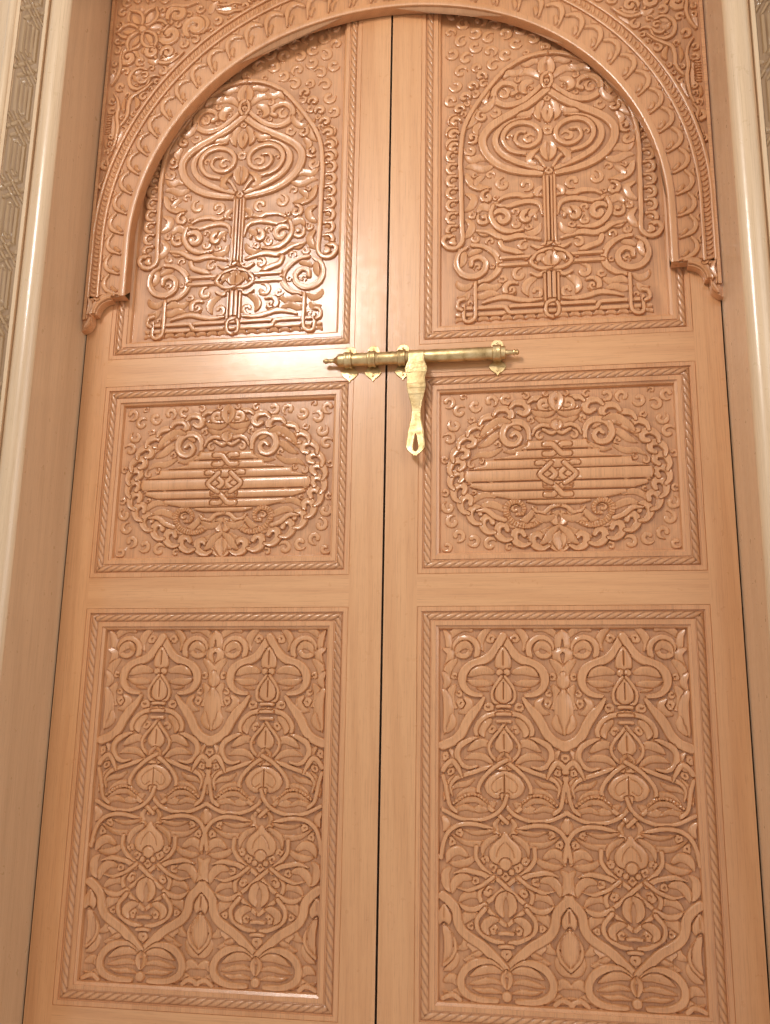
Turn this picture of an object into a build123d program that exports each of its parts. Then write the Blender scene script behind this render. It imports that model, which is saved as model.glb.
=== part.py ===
from build123d import *
import math
import os

# Double door of carved cedar in its frame, millimetres.
# X runs along the door, Z up, and the carved side faces -Y. While the pieces are made, the
# leaves' front faces lie at Y = 0; they are written with the origin on the floor, at the middle
# of the doorway and midway between the frame's front and the hinges' backs.

# Doorway and clearances
clear_width = 1230
clear_height = 2156
meeting_gap = 4
jamb_gap = 2.5
head_gap = 3
floor_gap = 6

# Leaves
leaf_thickness = 45
hinge_stile = 50.5
meeting_stile = 60
bottom_rail = 114
lower_panel = 682
middle_rail = 58
middle_panel = 382
lock_rail = 57
top_rail = 60
groove_depth = 10
groove_clearance = 2
panel_recess = 14
panel_thickness = 17

# Panel moulding, measured across from the edge of the opening
moulding_fillet = 8.5
moulding_quirk = 1.2
hollow_width = 18
hollow_depth = 3.5
rope_width = 13.5
rope_flat = 6
rope_drop = 1.2
inner_fillet = 7
inner_fillet_drop = 1.5
ovolo_step = 2.5
ovolo_width = 6.5
ovolo_foot = 2

# Carving on the panels. Lengths across are from a unit's own axis and heights from the opening's
# lower edge, on openings of the design's width and height, and they stretch with the opening.
design_width = 500
lower_height = 682
middle_height = 382
upper_height = 794
plate_rise = 5
band_rise = 8
unit_axis = 150
ogee_head = ((0, 638), (12, 612), (34, 592), (81, 562), (56, 522))
ogee_foot = (0, 508)
upper_wave = ((30, 522), (50, 526), (84, 465), (104, 452), (104, 434), (70, 454))
lower_wave = ((0, 84), (84, 144), (92, 180), (104, 190), (104, 210), (72, 186), (66, 152), (0, 102))
leaf_kites = ((408, 34, 380, 356), (302, 27, 268, 250), (208, 11, 188, 168), (96, 66, 72, 42))
stem_rings = (497, 135)
ring_half = (11, 4)
bars = ((229, 245, 66, 52), (212, 227, 116, 74), (193.5, 210, 160, 130), (170, 192, 165, 165),
        (153, 168, 132, 156), (136, 151, 84, 118))
horseshoe = ((171, 205), (171, 400), (118, 545), (0, 620))
onion = ((0, 535), (30, 506), (84, 482), (138, 440), (60, 356))
onion_foot = (0, 340)
column_half = 12
column_foot = 82
base_bars = (73, 60)
base_bar_half = 177
bar_half_height = 4

# Arch board, its drops measured down from the head
board_clearance = 2
board_thickness = 16
ring_thickness = 3.5
arch_leg = 88
arch_crown_drop = 122
arch_centre = 37
arch_lift = 6
arch_foot_drop = 731
toe_drop = 801
inner_bead = 13
rim_height = 5
band_centre = 22
band_lift = 4
ridge_inset = 29
ridge_crown_drop = 38
outer_bead_inset = 9
outer_bead_crown_drop = 14
ring_lip = 4
ridge_width = 6
ridge_height = 4.5
border_width = 6
border_edge = 3
foot_sole = 29
foot_heel_rise = 7
foot_cove = 29
foot_step = 9
foot_toe = 23

# Jamb lining and the surround in front of it
jamb_thickness = 35
reveal_depth = 175
bead_width = 45
bead_height = 21
bead_edge = 6
casing_width = 68
casing_thickness = 15
casing_border = 7
casing_recess = 4
ridge_moulding = 18
ridge_moulding_height = 22
outer_moulding = 32
outer_moulding_edge = 10

# Hinges on the rear faces
hinge_heights = (250, 1080, 1900)
hinge_length = 100
hinge_flange = 34
hinge_plate = 3
knuckle_radius = 6
knuckle_standoff = 7
hinge_pin_radius = 3.5
hinge_clearance = 0.05
knuckle_gap = 1

# Sliding bolt
bolt_drop = 31
bolt_standoff = 16
rod_radius = 8.5
rod_thin_radius = 6.5
rod_left = -96
rod_right = 226
finial_length = 24
finial_bud = 9
finial_neck = 8
collar_left = 42
collar_width = 36
collar_wall = 3
collar_seat = 0.5
collar_clearance = 0.05
keeper_plate = 2.5
keeper_band = 10
keeper_wall = 3
keeper_clearance = 0.4
keeper_top = 25
keeper_bottom = 44
keeper_width = 23
left_keepers = (-70, -25)
near_keeper = 32
far_keeper = 209

# Hasp, its drops measured down from the bolt's axis
hasp_thickness = 3
hasp_shoulder = 20.5
hasp_shoulder_drop = 28
hasp_bulge = 17.5
hasp_bulge_drop = 62
hasp_waist = 8
hasp_bend_drop = 107
hasp_bend_setback = 8
hasp_head = 17.5
hasp_head_drop = 180
hasp_end = 5
hasp_length = 195
hasp_end_forward = 8
slot_length = 34
slot_radius = 5.5
slot_bottom_drop = 181

half_width = clear_width / 2
leaf_inner = meeting_gap / 2
leaf_outer = half_width - jamb_gap
leaf_top = clear_height - head_gap
opening_left = leaf_inner + meeting_stile
opening_right = leaf_outer - hinge_stile
lower_opening = (floor_gap + bottom_rail, floor_gap + bottom_rail + lower_panel)
middle_opening = (lower_opening[1] + middle_rail, lower_opening[1] + middle_rail + middle_panel)
upper_opening = (middle_opening[1] + lock_rail, leaf_top - top_rail)
bolt_height = upper_opening[0] - bolt_drop
bolt_axis_y = -bolt_standoff
frame_front = reveal_depth + max(bead_height, ridge_moulding_height)
hinge_back = leaf_thickness + knuckle_standoff + knuckle_radius
origin_shift = (frame_front - hinge_back) / 2


def box(x0, x1, y0, y1, z0, z1):
    size = Box(x1 - x0, y1 - y0, z1 - z0)
    return Pos((x0 + x1) / 2, (y0 + y1) / 2, (z0 + z1) / 2) * size


def front_plane(y):
    """A plane facing the viewer, whose sketch axes are X and Z."""
    return Plane(origin=(0, y, 0), x_dir=(1, 0, 0), z_dir=(0, -1, 0))


def slab(sketch, y_back, thickness, taper=0):
    """A sketch in X and Z, raised towards the viewer from y_back."""
    return extrude(front_plane(y_back) * sketch, amount=thickness, taper=taper)


def polygon(*points):
    return make_face(Polyline(*points, close=True))


def rectangle(x0, x1, z0, z1):
    return polygon((x0, z0), (x1, z0), (x1, z1), (x0, z1))


def run(section, origin, across, along, length):
    """A section drawn across and out from the wall, run along a straight line."""
    plane = Plane(origin=origin, x_dir=across, z_dir=along)
    return extrude(plane * section, amount=length)


def mirrored(shape):
    return mirror(shape, about=Plane.YZ)


# Leaf framing

def stile(x0, x1, groove_side):
    body = box(x0, x1, 0, leaf_thickness, floor_gap, leaf_top)
    if groove_side > 0:
        groove_x = (x1 - groove_depth, x1)
    else:
        groove_x = (x0, x0 + groove_depth)
    back = panel_recess + panel_thickness
    return body - box(*groove_x, panel_recess, back, floor_gap, leaf_top)


def rail(z0, z1, groove_below, groove_above):
    """A rail between the stiles, with stub tenons in their grooves."""
    back = panel_recess + panel_thickness
    body = box(opening_left, opening_right, 0, leaf_thickness, z0, z1)
    tenon = groove_depth - groove_clearance
    tenon_z0 = z0 + (groove_depth if groove_below else 0)
    tenon_z1 = z1 - (groove_depth if groove_above else 0)
    body += box(opening_left - tenon, opening_right + tenon, panel_recess, back, tenon_z0, tenon_z1)
    reach = (opening_left - tenon, opening_right + tenon, panel_recess, back)
    if groove_below:
        body -= box(*reach, z0, z0 + groove_depth)
    if groove_above:
        body -= box(*reach, z1 - groove_depth, z1)
    return body


def placed(points, opening, height, axis=design_width / 2, side=1):
    """Points of a design, set on an opening and stretched with it."""
    across = (opening_right - opening_left) / design_width
    up = (opening[1] - opening[0]) / height
    return [(opening_left + (axis + side * x) * across, opening[0] + z * up) for x, z in points]


def arcs(points):
    """Arcs through each three points in turn, end to end."""
    return [ThreePointArc(*points[i:i + 3]) for i in range(0, len(points) - 2, 2)]


def both_sides(right, left, foot):
    """A face from its right edge, top to bottom, and its left edge, closed at its foot."""
    return make_face(arcs(right) + arcs(left) + [Polyline(right[-1], foot, left[-1])])


def lower_carving(opening):
    """Two units: ogee heads, waves that meet between them, rings and leaves on their stems."""
    plates, bands = Sketch(), Sketch()
    for axis in (unit_axis, design_width - unit_axis):
        right, left = (placed(ogee_head, opening, lower_height, axis, side) for side in (1, -1))
        foot = placed([ogee_foot], opening, lower_height, axis)[0]
        plates += both_sides(right, left, foot)
        for side in (1, -1):
            for wave in (upper_wave, lower_wave):
                bands += polygon(*placed(wave, opening, lower_height, axis, side))
        for top, half, middle, foot in leaf_kites:
            kite = [(0, top), (half, middle), (0, foot), (-half, middle)]
            plates += polygon(*placed(kite, opening, lower_height, axis))
        for z in stem_rings:
            half, rise = ring_half
            ring = [(-half, z - rise), (half, z - rise), (half, z + rise), (-half, z + rise)]
            bands += polygon(*placed(ring, opening, lower_height, axis))
    return plates, bands


def middle_carving(opening):
    """Bars that lengthen to the middle of an oval."""
    shapes = Sketch()
    for low, high, low_half, high_half in bars:
        bar = [(-low_half, low), (low_half, low), (high_half, high), (-high_half, high)]
        shapes += polygon(*placed(bar, opening, middle_height))
    return Sketch(), shapes


def upper_carving(opening):
    """An onion on a column within a horseshoe arch, over a base of two bars."""
    right, left = (placed(horseshoe, opening, upper_height, side=side) for side in (1, -1))
    head = [ThreePointArc(*right[1:]), ThreePointArc(*left[1:])]
    legs = [Line(right[0], right[1]), Line(left[0], left[1]), Line(right[0], left[0])]
    plates = make_face(head + legs)
    right, left = (placed(onion, opening, upper_height, side=side) for side in (1, -1))
    shapes = both_sides(right, left, placed([onion_foot], opening, upper_height)[0])
    half, top = column_half, onion[-1][1]
    column = [(-half, column_foot), (half, column_foot), (half, top), (-half, top)]
    shapes += polygon(*placed(column, opening, upper_height))
    for z in base_bars:
        low, high = z - bar_half_height, z + bar_half_height
        bar = [(-base_bar_half, low), (base_bar_half, low), (base_bar_half, high), (-base_bar_half, high)]
        shapes += polygon(*placed(bar, opening, upper_height))
    return plates, shapes


def panel(opening, carving):
    """A panel whose edges stand in the grooves all round, carved on the field in its moulding."""
    tongue = groove_depth - groove_clearance
    x0, x1 = opening_left - tongue, opening_right + tongue
    z0, z1 = opening[0] - tongue, opening[1] + tongue
    board = box(x0, x1, panel_recess, panel_recess + panel_thickness, z0, z1)
    w = moulding_width()
    field = box(opening_left + w, opening_right - w, 0, panel_recess, opening[0] + w, opening[1] - w)
    for shapes, rise in zip(carving(opening), (plate_rise, band_rise)):
        if shapes.faces():
            board += slab(shapes, panel_recess, rise) & field
    return board


# Panel mouldings

def moulding_section():
    """Fillet, hollow with its rope, inner fillet and ovolo, from the opening's edge inwards."""
    top = panel_recess
    floor = top - hollow_depth
    hollow_end = moulding_fillet + hollow_width
    rope_x = moulding_fillet + hollow_width / 2
    rope_top = top - rope_drop
    fillet_top = top - inner_fillet_drop
    fillet_end = hollow_end + inner_fillet
    ovolo_top = fillet_top - ovolo_step
    ovolo_end = fillet_end + ovolo_width
    bend = math.cos(math.pi / 4)
    ovolo_middle = (fillet_end + ovolo_width * bend, ovolo_foot + (ovolo_top - ovolo_foot) * bend)
    return polygon(
        (0, 0), (0, top - moulding_quirk), (moulding_quirk, top), (moulding_fillet, top),
        (moulding_fillet, floor), (rope_x - rope_width / 2, floor), (rope_x - rope_flat / 2, rope_top),
        (rope_x + rope_flat / 2, rope_top), (rope_x + rope_width / 2, floor), (hollow_end, floor),
        (hollow_end, fillet_top), (fillet_end, fillet_top), (fillet_end, ovolo_top), ovolo_middle,
        (ovolo_end, ovolo_foot), (ovolo_end, 0),
    )


def moulding_width():
    return moulding_fillet + hollow_width + inner_fillet + ovolo_width


def panel_moulding(opening):
    """Four sticks, mitred at the corners."""
    x0, x1 = opening_left, opening_right
    z0, z1 = opening
    w = moulding_width()
    section = moulding_section()
    inner = [(x0 + w, z0 + w), (x1 - w, z0 + w), (x1 - w, z1 - w), (x0 + w, z1 - w)]
    outer = [(x0, z0), (x1, z0), (x1, z1), (x0, z1)]
    along = [(1, 0, 0), (0, 0, 1), (-1, 0, 0), (0, 0, -1)]
    across = [(0, 0, 1), (-1, 0, 0), (0, 0, -1), (1, 0, 0)]
    sticks = []
    for side in range(4):
        following = (side + 1) % 4
        start, end = outer[side], outer[following]
        length = abs(end[0] - start[0]) + abs(end[1] - start[1])
        stick = run(section, (start[0], panel_recess, start[1]), across[side], along[side], length)
        mitre = polygon(outer[side], outer[following], inner[following], inner[side])
        sticks.append(stick & slab(mitre, panel_recess, panel_recess))
    return sticks


# Arch board

def arch_edges(half, crown, offset, lift, bottom):
    """A three-centred arch on straight legs, from the right foot over the crown to the left foot.

    The side arcs' centres stand off the middle by the offset, and the crown is higher above them
    than their radius by the lift."""
    side_radius = half - offset
    spring = crown - side_radius - lift
    drop = (offset ** 2 - lift ** 2) / (2 * lift)
    centre = spring - drop
    reach = (crown - centre) / math.hypot(offset, drop)
    join = (offset * reach, centre + drop * reach)
    turn = math.atan2(join[1] - spring, join[0] - offset) / 2
    side = (offset + side_radius * math.cos(turn), spring + side_radius * math.sin(turn))
    return [
        Line((half, bottom), (half, spring)),
        ThreePointArc((half, spring), side, join),
        ThreePointArc(join, (0, crown), (-join[0], join[1])),
        ThreePointArc((-join[0], join[1]), (-side[0], side[1]), (-half, spring)),
        Line((-half, spring), (-half, bottom)),
    ]


def intrados(bottom, outwards=0):
    half = half_width - arch_leg + outwards
    crown = clear_height - arch_crown_drop + outwards
    return arch_edges(half, crown, arch_centre, arch_lift, bottom)


def band_edges(inset, crown_drop, bottom):
    """The middle line of the ridge or of the outer bead."""
    return arch_edges(half_width - inset, clear_height - crown_drop, band_centre, band_lift, bottom)


def closed(edges):
    return make_face(edges + [Line(edges[-1] @ 1, edges[0] @ 0)])


def foot_void():
    """The scrolled end of the right leg, cut from below: sole, cove, step and round toe."""
    inner = half_width - arch_leg
    sole_z = clear_height - arch_foot_drop
    toe_z = clear_height - toe_drop
    cove_x = inner + foot_sole
    cove_top = sole_z - foot_heel_rise
    step_x = cove_x + foot_cove
    step_z = cove_top - foot_cove
    toe_x = step_x + foot_step
    toe_top = toe_z + foot_toe
    lean = math.sqrt(0.5)
    cove_middle = (cove_x + foot_cove * lean, step_z + foot_cove * lean)
    toe_reach = half_width - toe_x
    toe_middle = (half_width - toe_reach * lean, toe_top - foot_toe * lean)
    edges = [
        Polyline((0, sole_z), (cove_x, sole_z), (cove_x, cove_top)),
        ThreePointArc((cove_x, cove_top), cove_middle, (step_x, step_z)),
        Polyline((step_x, step_z), (toe_x, step_z), (toe_x, toe_top)),
        ThreePointArc((toe_x, toe_top), toe_middle, (half_width, toe_z)),
        Polyline((half_width, toe_z), (0, toe_z), (0, sole_z)),
    ]
    return make_face(edges)


def board_outline():
    toe_z = clear_height - toe_drop
    outline = rectangle(-half_width, half_width, toe_z, clear_height)
    outline -= closed(intrados(clear_height - arch_foot_drop))
    void = foot_void()
    return outline - void - mirror(void, about=Plane.YZ)


def arch_bead(inner, outer, y_back, height):
    """A bead raised between two arches."""
    return slab(closed(outer) - closed(inner), y_back, height)


def arch_board():
    """One carved board: spandrels, ring with its ridges, border and scrolled feet."""
    outline = board_outline()
    sole_z = clear_height - arch_foot_drop
    toe_z = clear_height - toe_drop
    back = -board_clearance
    ground = back - board_thickness
    ring_face = ground - ring_thickness
    half = ridge_width / 2
    ring_edge = band_edges(outer_bead_inset - ring_lip, outer_bead_crown_drop - ring_lip, toe_z)
    board = slab(outline, back, board_thickness)
    board += slab(outline & closed(ring_edge), ground, ring_thickness)
    board += arch_bead(intrados(sole_z), intrados(sole_z, inner_bead), ring_face, rim_height)
    for inset, drop in ((ridge_inset, ridge_crown_drop), (outer_bead_inset, outer_bead_crown_drop)):
        inner = band_edges(inset + half, drop + half, sole_z)
        outer = band_edges(inset - half, drop - half, sole_z)
        board += arch_bead(inner, outer, ring_face, ridge_height)
    edge = half_width - border_edge
    top = clear_height - border_edge
    low = toe_z + foot_toe
    border = rectangle(-edge, edge, low, top)
    border -= rectangle(border_width - edge, edge - border_width, low, top - border_width)
    return board + slab(border, ground, ring_thickness + ridge_height)


# Lining and surround

def side_jamb():
    """The right jamb; its front edge carries the surround, its rear edge the hinges."""
    outer = half_width + jamb_thickness
    return box(half_width, outer, -reveal_depth, leaf_thickness, 0, clear_height)


def head_lining():
    outer = half_width + jamb_thickness
    return box(-outer, outer, -reveal_depth, leaf_thickness, clear_height, clear_height + jamb_thickness)


def bead_section():
    """A broad round bead on a flat back."""
    top = ThreePointArc((0, bead_edge), (bead_width / 2, bead_height), (bead_width, bead_edge))
    back = Polyline((bead_width, bead_edge), (bead_width, 0), (0, 0), (0, bead_edge))
    return make_face([top, back])


def casing_section():
    """A flat board with a sunk field between two borders."""
    sunk = casing_thickness - casing_recess
    inner = casing_width - casing_border
    points = [(0, 0), (0, casing_thickness), (casing_border, casing_thickness), (casing_border, sunk),
              (inner, sunk), (inner, casing_thickness), (casing_width, casing_thickness), (casing_width, 0)]
    return polygon(*points)


def outer_section():
    """A ridge that falls in a hollow curve to the outer edge."""
    end = ridge_moulding + outer_moulding
    peak = ridge_moulding_height
    ridge = ThreePointArc((0, casing_thickness), (ridge_moulding / 2, peak),
                          (ridge_moulding, casing_thickness))
    middle = (ridge_moulding + outer_moulding * 0.5, outer_moulding_edge + 1)
    hollow = ThreePointArc((ridge_moulding, casing_thickness), middle, (end, outer_moulding_edge))
    back = Polyline((end, outer_moulding_edge), (end, 0), (0, 0), (0, casing_thickness))
    return make_face([ridge, hollow, back])


def surround(section, inset, width):
    """A strip of the surround: left, head and right lengths, mitred at the upper corners."""
    inner = half_width + inset
    outer = inner + width
    low = clear_height + inset
    high = low + width
    depth = reveal_depth
    proud = bead_height + ridge_moulding_height
    side = polygon((inner, 0), (outer, 0), (outer, high), (inner, low))
    head = polygon((-inner, low), (inner, low), (outer, high), (-outer, high))
    right = run(section, (inner, -depth, high), (1, 0, 0), (0, 0, -1), high)
    right &= slab(side, -depth, proud)
    top = run(section, (-outer, -depth, low), (0, 0, 1), (1, 0, 0), 2 * outer)
    top &= slab(head, -depth, proud)
    return mirrored(right), top, right


# Hinges

def hinge_axis():
    return half_width - jamb_gap / 2, leaf_thickness + knuckle_standoff


def knuckle(z0, z1):
    x, y = hinge_axis()
    return Pos(x, y, (z0 + z1) / 2) * Cylinder(knuckle_radius, z1 - z0)


def hinge_flange_plate(side, height):
    """The plate on the rear face with its neck; side is +1 on the jamb, -1 on the leaf."""
    x, y = hinge_axis()
    near, far = x + side * (knuckle_radius + knuckle_gap), x + side * hinge_flange
    half = hinge_length / 2
    back = leaf_thickness + hinge_plate
    plate = box(min(near, far), max(near, far), leaf_thickness, back, height - half, height + half)
    neck_z = sorted((height - side * half, height - side * knuckle_gap / 2))
    neck_y = y - knuckle_radius
    return plate + box(min(x, near), max(x, near), neck_y, back + knuckle_gap, *neck_z)


def frame_hinge_half(height):
    """The lower knuckle with its pin, and the flange on the jamb."""
    x, y = hinge_axis()
    split = height - knuckle_gap / 2
    pin_top = height + hinge_length / 2 - knuckle_radius
    pin = Pos(x, y, (split + pin_top) / 2) * Cylinder(hinge_pin_radius, pin_top - split)
    return hinge_flange_plate(1, height) + knuckle(height - hinge_length / 2, split) + pin


def leaf_hinge_half(height):
    """The upper knuckle, closed at its top, and the flange on the leaf."""
    x, y = hinge_axis()
    top = height + hinge_length / 2
    split = height + knuckle_gap / 2
    bore_top = top - knuckle_radius + knuckle_gap
    bore_radius = hinge_pin_radius + hinge_clearance
    bore = Pos(x, y, (split + bore_top) / 2) * Cylinder(bore_radius, bore_top - split)
    return hinge_flange_plate(-1, height) + knuckle(split, top) - bore


# Bolt and hasp

def along_bolt(x, shape):
    """Turns a shape made along Z so that it lies along the bolt's axis, with its origin at x."""
    return Pos(x, bolt_axis_y, bolt_height) * Rot(0, 90, 0) * shape


def bolt_rod():
    """A turned rod with a bud at each end and a seat for the hasp's collar."""
    seat = rod_thin_radius - collar_seat
    collar_right = collar_left + collar_width
    tip_left = rod_left - finial_length
    tip_right = rod_right + finial_length
    neck = rod_thin_radius / 2
    bud = rod_thin_radius * 0.75
    points = [
        (tip_left, 0), (tip_left + finial_bud, bud), (rod_left - finial_neck, neck),
        (rod_left, neck), (rod_left, rod_radius), (collar_left, rod_radius), (collar_left, seat),
        (collar_right, seat), (collar_right, rod_thin_radius), (rod_right, rod_thin_radius),
        (rod_right, neck), (rod_right + finial_neck, neck), (tip_right - finial_bud, bud), (tip_right, 0),
    ]
    section = make_face(Polyline(*points, close=True))
    turned = revolve(section, axis=Axis.X)
    return Pos(0, bolt_axis_y, bolt_height) * turned


def keeper(x, radius):
    """A leaf-shaped plate and the loop that holds the rod."""
    half = keeper_width / 2
    top = bolt_height + keeper_top
    bottom = bolt_height - keeper_bottom
    band = keeper_band / 2
    bore = radius + keeper_clearance
    outer = bore + keeper_wall
    shoulder = bolt_height + outer
    outline = make_face([
        ThreePointArc((x - half, shoulder), (x, top), (x + half, shoulder)),
        Polyline((x + half, shoulder), (x + band, bolt_height), (x + half, bolt_height - outer)),
        Polyline((x + half, bolt_height - outer), (x + band, bottom + band), (x, bottom)),
        Polyline((x, bottom), (x - band, bottom + band), (x - half, bolt_height - outer)),
        Polyline((x - half, bolt_height - outer), (x - band, bolt_height), (x - half, shoulder)),
    ])
    piece = slab(outline, 0, keeper_plate)
    loop = Cylinder(outer, keeper_band)
    piece += along_bolt(x, loop)
    piece += box(x - band, x + band, bolt_axis_y, 0, bolt_height - outer, bolt_height + outer)
    bore_cut = along_bolt(x, Cylinder(bore, keeper_width))
    throat = box(x - half, x + half, bolt_axis_y, -keeper_plate, bolt_height - bore, bolt_height + bore)
    return piece - bore_cut - throat


def hasp_outline(x):
    z = bolt_height
    sides = [
        (collar_width / 2, 0),
        (collar_width / 2, hasp_shoulder_drop / 2),
        (hasp_shoulder, hasp_shoulder_drop),
        (hasp_bulge - 1.5, hasp_shoulder_drop + 19), (hasp_bulge, hasp_bulge_drop),
        (hasp_waist, hasp_bend_drop), (hasp_head - 3, hasp_bend_drop + 42),
        (hasp_head, hasp_head_drop), (hasp_end, hasp_length),
    ]
    right = [(x + half, z - drop) for half, drop in sides]
    left = [(x - half, z - drop) for half, drop in reversed(sides)]
    return polygon(*right, *left)


def hasp_slot(x):
    """A teardrop, round below and narrow above."""
    bottom = bolt_height - slot_bottom_drop
    centre = bottom + slot_radius
    tip = bottom + slot_length
    narrow = slot_radius * 0.35
    drop = Pos(x, centre) * Circle(slot_radius)
    widest = [(x - slot_radius, centre), (x + slot_radius, centre)]
    drop += polygon(*widest, (x + narrow, tip), (x - narrow, tip))
    return drop


def hasp():
    """A strap that wraps the rod, bends back at its waist and comes forward to its slotted head."""
    x = collar_left + collar_width / 2
    bore = rod_thin_radius - collar_seat + collar_clearance
    outer = bore + collar_wall
    y_top = bolt_axis_y - outer
    y_bend = -hasp_bend_setback - hasp_thickness
    y_end = -hasp_end_forward - hasp_bend_setback
    z = bolt_height
    path = [(y_top, z), (y_bend, z - hasp_bend_drop), (y_end - hasp_thickness, z - hasp_length)]
    back = [(y + hasp_thickness, level) for y, level in reversed(path)]
    side_plane = Plane(origin=(x - hasp_shoulder, 0, 0), x_dir=(0, 1, 0), z_dir=(1, 0, 0))
    strip = extrude(side_plane * polygon(*path, *back), amount=2 * hasp_shoulder)
    deep = reveal_depth
    strap = strip & slab(hasp_outline(x), 0, deep)
    strap -= slab(hasp_slot(x), 0, deep)
    collar = along_bolt(x, Cylinder(outer, collar_width - knuckle_gap))
    hole = along_bolt(x, Cylinder(bore, 2 * collar_width))
    return strap + collar - hole


def leaf_pieces():
    """The right leaf's pieces by name."""
    pieces = {
        "meeting_stile": stile(leaf_inner, opening_left, 1),
        "hinge_stile": stile(opening_right, leaf_outer, -1),
        "bottom_rail": rail(floor_gap, lower_opening[0], False, True),
        "middle_rail": rail(lower_opening[1], middle_opening[0], True, True),
        "lock_rail": rail(middle_opening[1], upper_opening[0], True, True),
        "top_rail": rail(upper_opening[1], leaf_top, True, False),
    }
    openings = {"lower": lower_opening, "middle": middle_opening, "upper": upper_opening}
    carvings = {"lower": lower_carving, "middle": middle_carving, "upper": upper_carving}
    for name, opening in openings.items():
        pieces[name + "_panel"] = panel(opening, carvings[name])
        pieces[name + "_moulding"] = panel_moulding(opening)
    pieces["hinge_leaf_halves"] = [leaf_hinge_half(height) for height in hinge_heights]
    return pieces


def frame_pieces():
    jamb = side_jamb()
    halves = [frame_hinge_half(height) for height in hinge_heights]
    pieces = {
        "left_jamb": mirrored(jamb),
        "right_jamb": jamb,
        "head_lining": head_lining(),
        "arch_board": arch_board(),
        "left_hinge_frame_halves": [mirrored(half) for half in halves],
        "right_hinge_frame_halves": halves,
    }
    casing_inset = bead_width
    outer_inset = bead_width + casing_width
    strips = {
        "round_bead": (bead_section(), 0, bead_width),
        "casing": (casing_section(), casing_inset, casing_width),
        "outer_moulding": (outer_section(), outer_inset, ridge_moulding + outer_moulding),
    }
    for name, (section, inset, width) in strips.items():
        left, head, right = surround(section, inset, width)
        pieces["left_" + name] = left
        pieces["head_" + name] = head
        pieces["right_" + name] = right
    return pieces


def bolt_pieces():
    return {
        "left_outer_keeper": keeper(left_keepers[0], rod_radius),
        "left_inner_keeper": keeper(left_keepers[1], rod_radius),
        "right_inner_keeper": keeper(near_keeper, rod_radius),
        "right_outer_keeper": keeper(far_keeper, rod_thin_radius),
        "bolt_rod": bolt_rod(),
        "hasp": hasp(),
    }


def write(name, shape):
    solids = shape if isinstance(shape, list) else [shape]
    placed = [Pos(0, origin_shift, 0) * piece for piece in solids]
    bodies = [solid for piece in placed for solid in piece.solids()]
    export_step(Compound(children=bodies) if len(bodies) > 1 else bodies[0], "parts/" + name + ".step")


def main():
    os.makedirs("parts", exist_ok=True)
    for name, shape in frame_pieces().items():
        write(name, shape)
    for name, shape in leaf_pieces().items():
        write("right_" + name, shape)
        if isinstance(shape, list):
            write("left_" + name, [mirrored(piece) for piece in shape])
        else:
            write("left_" + name, mirrored(shape))
    for name, shape in bolt_pieces().items():
        write(name, shape)


main()
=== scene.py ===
import math
import bmesh
import bpy
import numpy as np
from mathutils import Matrix, Vector


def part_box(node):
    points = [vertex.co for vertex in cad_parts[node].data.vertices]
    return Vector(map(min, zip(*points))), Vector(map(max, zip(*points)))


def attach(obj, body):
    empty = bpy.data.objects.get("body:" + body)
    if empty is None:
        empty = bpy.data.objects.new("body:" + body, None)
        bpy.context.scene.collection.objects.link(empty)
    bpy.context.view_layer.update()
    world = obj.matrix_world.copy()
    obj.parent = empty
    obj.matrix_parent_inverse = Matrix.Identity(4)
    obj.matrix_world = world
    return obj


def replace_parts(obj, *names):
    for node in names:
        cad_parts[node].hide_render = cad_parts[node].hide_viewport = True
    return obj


# A double door of carved cedar: materials, light and camera, and the carving over its plain solids.
# Carving is worked out in millimetres as fields of heights, then set down in metres on the frame.

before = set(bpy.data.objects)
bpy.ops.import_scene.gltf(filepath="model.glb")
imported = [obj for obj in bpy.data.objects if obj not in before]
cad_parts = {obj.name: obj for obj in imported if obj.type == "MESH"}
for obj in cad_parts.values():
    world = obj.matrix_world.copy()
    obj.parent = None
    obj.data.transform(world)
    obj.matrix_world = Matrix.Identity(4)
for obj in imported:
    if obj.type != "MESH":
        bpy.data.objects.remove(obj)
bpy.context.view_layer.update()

MM = 0.001
LEAF_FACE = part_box("left_meeting_stile")[0].y
FACE = LEAF_FACE / MM
PANEL_GROUND = 14
DOORWAY_HALF = 0.62

LENS = 45.98
CAMERA_PLACE = (0.2890, -1.6505, 0.5565)
CAMERA_PAN, CAMERA_TILT, CAMERA_ROLL = 9.48, 13.503, -0.934


def link(obj):
    bpy.context.scene.collection.objects.link(obj)
    return obj


def turn_about(degrees, axis):
    return Matrix.Rotation(math.radians(degrees), 3, axis)


def place_camera():
    data = bpy.data.cameras.new("camera")
    data.sensor_fit = "HORIZONTAL"
    data.sensor_width = 36
    data.lens = LENS
    data.clip_start, data.clip_end = 0.01, 50
    camera = link(bpy.data.objects.new("camera", data))
    turn = turn_about(CAMERA_PAN, "Z") @ turn_about(CAMERA_TILT, "X") @ turn_about(CAMERA_ROLL, "Y")
    axes = Matrix((turn.col[0], turn.col[2], -turn.col[1])).transposed()
    camera.matrix_world = Matrix.Translation(CAMERA_PLACE) @ axes.to_4x4()
    bpy.context.scene.camera = camera


place_camera()


# Materials

def srgb(r, g, b):
    """A colour given as it looks on a screen, 0 to 255."""
    def linear(c):
        c /= 255
        return c / 12.92 if c <= 0.04045 else ((c + 0.055) / 1.055) ** 2.4
    return linear(r), linear(g), linear(b), 1.0


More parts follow.
